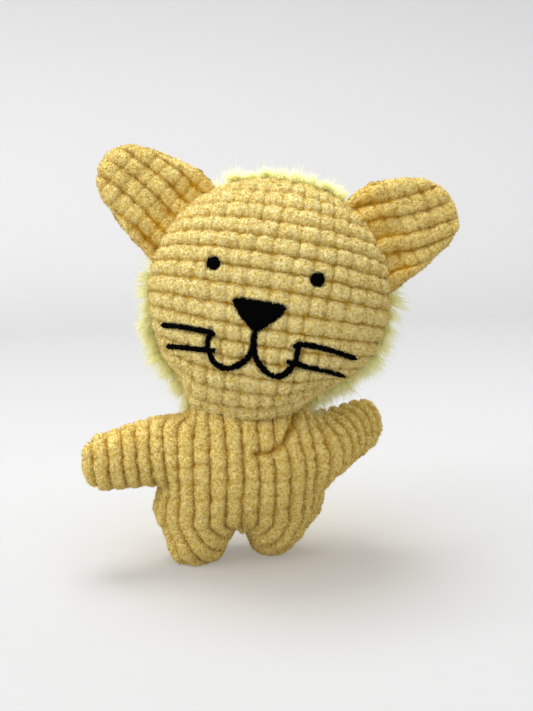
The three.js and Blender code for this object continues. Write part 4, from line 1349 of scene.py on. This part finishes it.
def ear_turn(side):
    """An ear's own directions in the toy: along its fold, to the back and to its tip."""
    angle = np.radians(EAR_ANGLE)
    tip = np.array([SIDES[side] * np.cos(angle), 0, np.sin(angle)])
    back = np.array([0.0, 1.0, 0.0])
    flat = np.stack([np.cross(back, tip), back, tip], axis=1)
    return HEAD_TURN @ flat @ turning((1, 0, 0), -EAR_BACK[side])


class TOY_OT_body(bpy.types.Operator):
    """Body: one stuffed cloth over torso, neck, arms and legs, parted where the joints are"""

    bl_idname = "toy.body"
    bl_label = "Make the body"

    def execute(self, context):
        settings = plush(context)
        material = material_of("body_plush", plush_material, settings, 0.38)
        world, quads, groove = body_cloth()
        CLOTH["body"] = search_tree(world, quads)
        middle = world[quads].mean(axis=1)
        zone = np.full(len(quads), "torso", dtype="U16")
        own_x = middle[:, 0] - TORSO[0]
        zone[(middle[:, 2] > NECK_CUT) & (np.abs(own_x - 5) < 31)] = "neck"
        for side, sign in SIDES.items():
            start, way = ARM_PLANES[side]
            far = (middle - start) @ way
            zone[(far > SHOULDER_CUT) & (zone == "torso")] = f"shoulder_{side}"
            zone[far > ARM_CUT] = f"arm_{side}"
            zone[(middle[:, 2] < LEG_CUT) & ((own_x - CROTCH_MIDDLE) * sign > 0)] = f"leg_{side}"
        for i, name in enumerate(sorted(set(zone))):
            part, faces, deep = split(world, quads, groove, zone == name)
            piece = cloth_piece(f"{name}_plush", part, faces, deep, settings, material, 100 + i)
            self.hang(piece, name)
        return {"FINISHED"}

    def hang(self, piece, name):
        """Makes the torso's piece follow the torso, bakes each other piece's place into its points, and
        hides the solids that it stands for.
        """
        if name == "torso":
            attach(piece, "torso")
            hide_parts("body_front_panel", "body_back_panel")
            return
        if name == "neck":
            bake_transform(piece)
            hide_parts("neck_sleeve")
            return
        kind, side = name.split("_")
        if kind == "leg":
            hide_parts(f"leg_{side}_front", f"leg_{side}_back")
            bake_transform(piece)
            return
        start, way = ARM_PLANES[side]
        if kind == "shoulder":
            metres(*(start + way * (ARM_CUT - 1.5)))
            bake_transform(piece)
            return
        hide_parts(f"arm_{side}_front", f"arm_{side}_back")
        metres(*(start + way * (ARM_CUT + 1.5)))
        metres(*(start + way * (ARM_CUT + 14)))
        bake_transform(piece)


class TOY_OT_filling(bpy.types.Operator):
    """Filling: fluffy wadding in the space of each filling solid"""

    bl_idname = "toy.filling"
    bl_label = "Stuff the toy"

    def execute(self, context):
        material = material_of("fibre_filling", wadding_material)
        for node in NODES:
            if not (node.endswith("filling") or "filling_" in node or node.endswith("wadding")):
                continue
            source = frame["nodes"][node]
            piece = self.even_mesh(context, node, source.data)
            points, normals = (np.empty(len(piece.data.vertices) * 3) for _ in range(2))
            piece.data.vertices.foreach_get("co", points)
            piece.data.vertices.foreach_get("normal", normals)
            points = points.reshape(-1, 3) / MM
            clump = noise(points, 6.0, 120) * 0.5 + noise(points, 2.5, 121) * 0.25 - 0.9 - ("ear" in node)
            points = points + normals.reshape(-1, 3) * clump[:, None]
            if node.startswith("head"):
                points = to_world((points - HEAD_CENTRE) @ HEAD_TURN * HEAD_FILLING_SHARE)
            elif not node.startswith("neck"):
                points = self.fitted(node, points)
            piece.data.vertices.foreach_set("co", (points * MM).ravel())
            piece.data.materials.clear()
            piece.data.materials.append(material)
            piece.data.polygons.foreach_set("use_smooth", np.full(len(piece.data.polygons), True))
            piece.data.update()
            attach(piece, source["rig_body"])
            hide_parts(node)
        return {"FINISHED"}

    def even_mesh(self, context, node, mesh):
        """A new piece in the form of a solid, its faces all about as large as the grid's cells."""
        piece = bpy.data.objects.new(f"{node}_fluff", mesh.copy())
        context.scene.collection.objects.link(piece)
        weld = piece.modifiers.new("weld", "WELD")
        weld.merge_threshold = 0.05 * MM
        grid = piece.modifiers.new("grid", "REMESH")
        grid.mode = "VOXEL"
        grid.voxel_size = EAR_VOXEL if "ear" in node else VOXEL
        even = bpy.data.meshes.new_from_object(piece.evaluated_get(context.evaluated_depsgraph_get()))
        piece.modifiers.clear()
        piece.data = even
        return piece

    def fitted(self, node, points):
        """A filling's points, kept behind its cloth. An arm's wadding is slim near the shoulder and a
        leg's is short at the hip, so that they stay inside when the limb moves."""
        kind, side = node.split("_")[:2]
        if kind == "arm":
            pivot = SHOULDERS[side]
            axis = unit(points.mean(axis=0) - pivot)
            along = (points - pivot) @ axis
            onto = pivot + along[:, None] * axis
            points = onto + (points - onto) * mix(0.55, 1, ease(along, 18, 36))[:, None]
        if kind == "leg":
            hip = HIPS[side]
            points = hip + (points - hip) * mix(1, 0.78, ease(points[:, 2], 14, 26))[:, None]
        cloth = CLOTH[f"ear_{side}" if kind == "ear" else "body"]
        for _ in range(2):
            points = kept_inside(points, cloth, FILLING_DEPTH.get(kind, 3.3))
        return points


class TOY_OT_squeaker(bpy.types.Operator):
    """Squeaker: the cap, base, reed tube and reed keep their solids and get moulded plastic"""

    bl_idname = "toy.squeaker"
    bl_label = "Finish the squeaker"

    def execute(self, context):
        soft = material_of("soft_plastic", plastic_material, (0.86, 0.84, 0.77), 0.42)
        hard = material_of("hard_plastic", plastic_material, (0.07, 0.19, 0.46), 0.3)
        for node in ("squeaker_cap", "squeaker_base", "reed_tube", "reed"):
            material = hard if node.startswith("reed") else soft
            mesh = frame["nodes"][node].data
            mesh.materials.clear()
            mesh.materials.append(material)
        return {"FINISHED"}


# Stage
class TOY_OT_stage(bpy.types.Operator):
    """Stage: grey paper sweep, a soft light on the left, one above, a weak one on the right, a camera"""

    bl_idname = "toy.stage"
    bl_label = "Set the stage"

    def execute(self, context):
        settings = context.scene.toy_stage
        self.sweep(settings)
        self.lights(context, settings)
        self.camera(context)
        context.scene.view_settings.view_transform = "Standard"
        return {"FINISHED"}

    def sweep(self, settings):
        """Floor and backdrop in one sheet: flat, a quarter circle, then upright."""
        radius, front, back, high, side = 500.0, -2500.0, 900.0, 2600.0, 3000.0
        turn = np.linspace(0, np.pi / 2, 24)
        y = np.concatenate([[front], back + radius * np.sin(turn), [back + radius]])
        z = np.concatenate([[0], radius * (1 - np.cos(turn)), [high]])
        x = np.linspace(-side, side, 9)
        points = np.stack(np.broadcast_arrays(x[None], y[:, None], z[:, None]), axis=-1).reshape(-1, 3)
        paper = material_of("paper", backdrop_material, settings.paper_colour)
        make_piece("paper_sweep", points, [grid_quads(len(y), len(x))[:, ::-1]], paper)

    def lights(self, context, settings):
        world = bpy.data.worlds.new("studio")
        context.scene.world = world
        world.use_nodes = True
        sky = world.node_tree.nodes["Background"]
        sky.inputs["Color"].default_value = (1, 1, 1, 1)
        sky.inputs["Strength"].default_value = SKY_STRENGTH
        for name, place, aim, width in LAMPS:
            data = bpy.data.lights.new(name, "AREA")
            data.size, data.energy, data.color = width, getattr(settings, f"{name}_power"), LAMP_COLOUR
            lamp = bpy.data.objects.new(name, data)
            lamp.location = place
            lamp.rotation_euler = (Vector(aim) - Vector(place)).to_track_quat("-Z", "Y").to_euler()
            context.scene.collection.objects.link(lamp)

    def camera(self, context):
        azimuth, elevation = np.radians(CAMERA_TURN)
        level = np.cos(elevation)
        away = Vector((np.sin(azimuth) * level, -np.cos(azimuth) * level, np.sin(elevation)))
        data = bpy.data.cameras.new("camera")
        data.sensor_width = 36
        data.lens = 36 * CAMERA_LENS
        camera = bpy.data.objects.new("camera", data)
        camera.location = Vector(CAMERA_TARGET) + away * CAMERA_DISTANCE
        camera.rotation_euler = (-away).to_track_quat("-Z", "Y").to_euler()
        context.scene.collection.objects.link(camera)
        context.scene.camera = camera


# Panel
class TOY_PT_panel(bpy.types.Panel):
    """Lists the toy's pieces and their settings"""

    bl_idname = "TOY_PT_panel"
    bl_label = "Cat toy"
    bl_space_type = "VIEW_3D"
    bl_region_type = "UI"
    bl_category = "Cat toy"

    def draw(self, context):
        for group, operators in PANEL_ROWS:
            box = self.layout.box()
            settings = getattr(context.scene, group)
            for key in settings.bl_rna.properties.keys():
                if key not in ("rna_type", "name"):
                    box.prop(settings, key)
            for operator in operators:
                box.operator(operator)


PANEL_ROWS = (
    ("toy_plush", ("toy.face", "toy.ears", "toy.body")),
    ("toy_stitching", ("toy.stitching",)),
    ("toy_fur", ("toy.mane",)),
    ("toy_stage", ("toy.stage", "toy.filling", "toy.squeaker")),
)
SETTINGS = {
    "toy_plush": PlushSettings,
    "toy_fur": FurSettings,
    "toy_stitching": StitchSettings,
    "toy_stage": StageSettings,
}
CLASSES = (PlushSettings, FurSettings, StitchSettings, StageSettings, TOY_OT_face, TOY_OT_stitching,
           TOY_OT_mane, TOY_OT_ears, TOY_OT_body, TOY_OT_filling, TOY_OT_squeaker, TOY_OT_stage,
           TOY_PT_panel)


def register():
    for each in CLASSES:
        bpy.utils.register_class(each)
    for name, group in SETTINGS.items():
        setattr(bpy.types.Scene, name, bpy.props.PointerProperty(type=group))


def unregister():
    for name in SETTINGS:
        delattr(bpy.types.Scene, name)
    for each in reversed(CLASSES):
        bpy.utils.unregister_class(each)


def main():
    register()
    toy = bpy.ops.toy
    for make in (toy.stage, toy.face, toy.stitching, toy.mane, toy.ears, toy.body, toy.filling,
                 toy.squeaker):
        make()


if __name__ == "__main__":
    main()
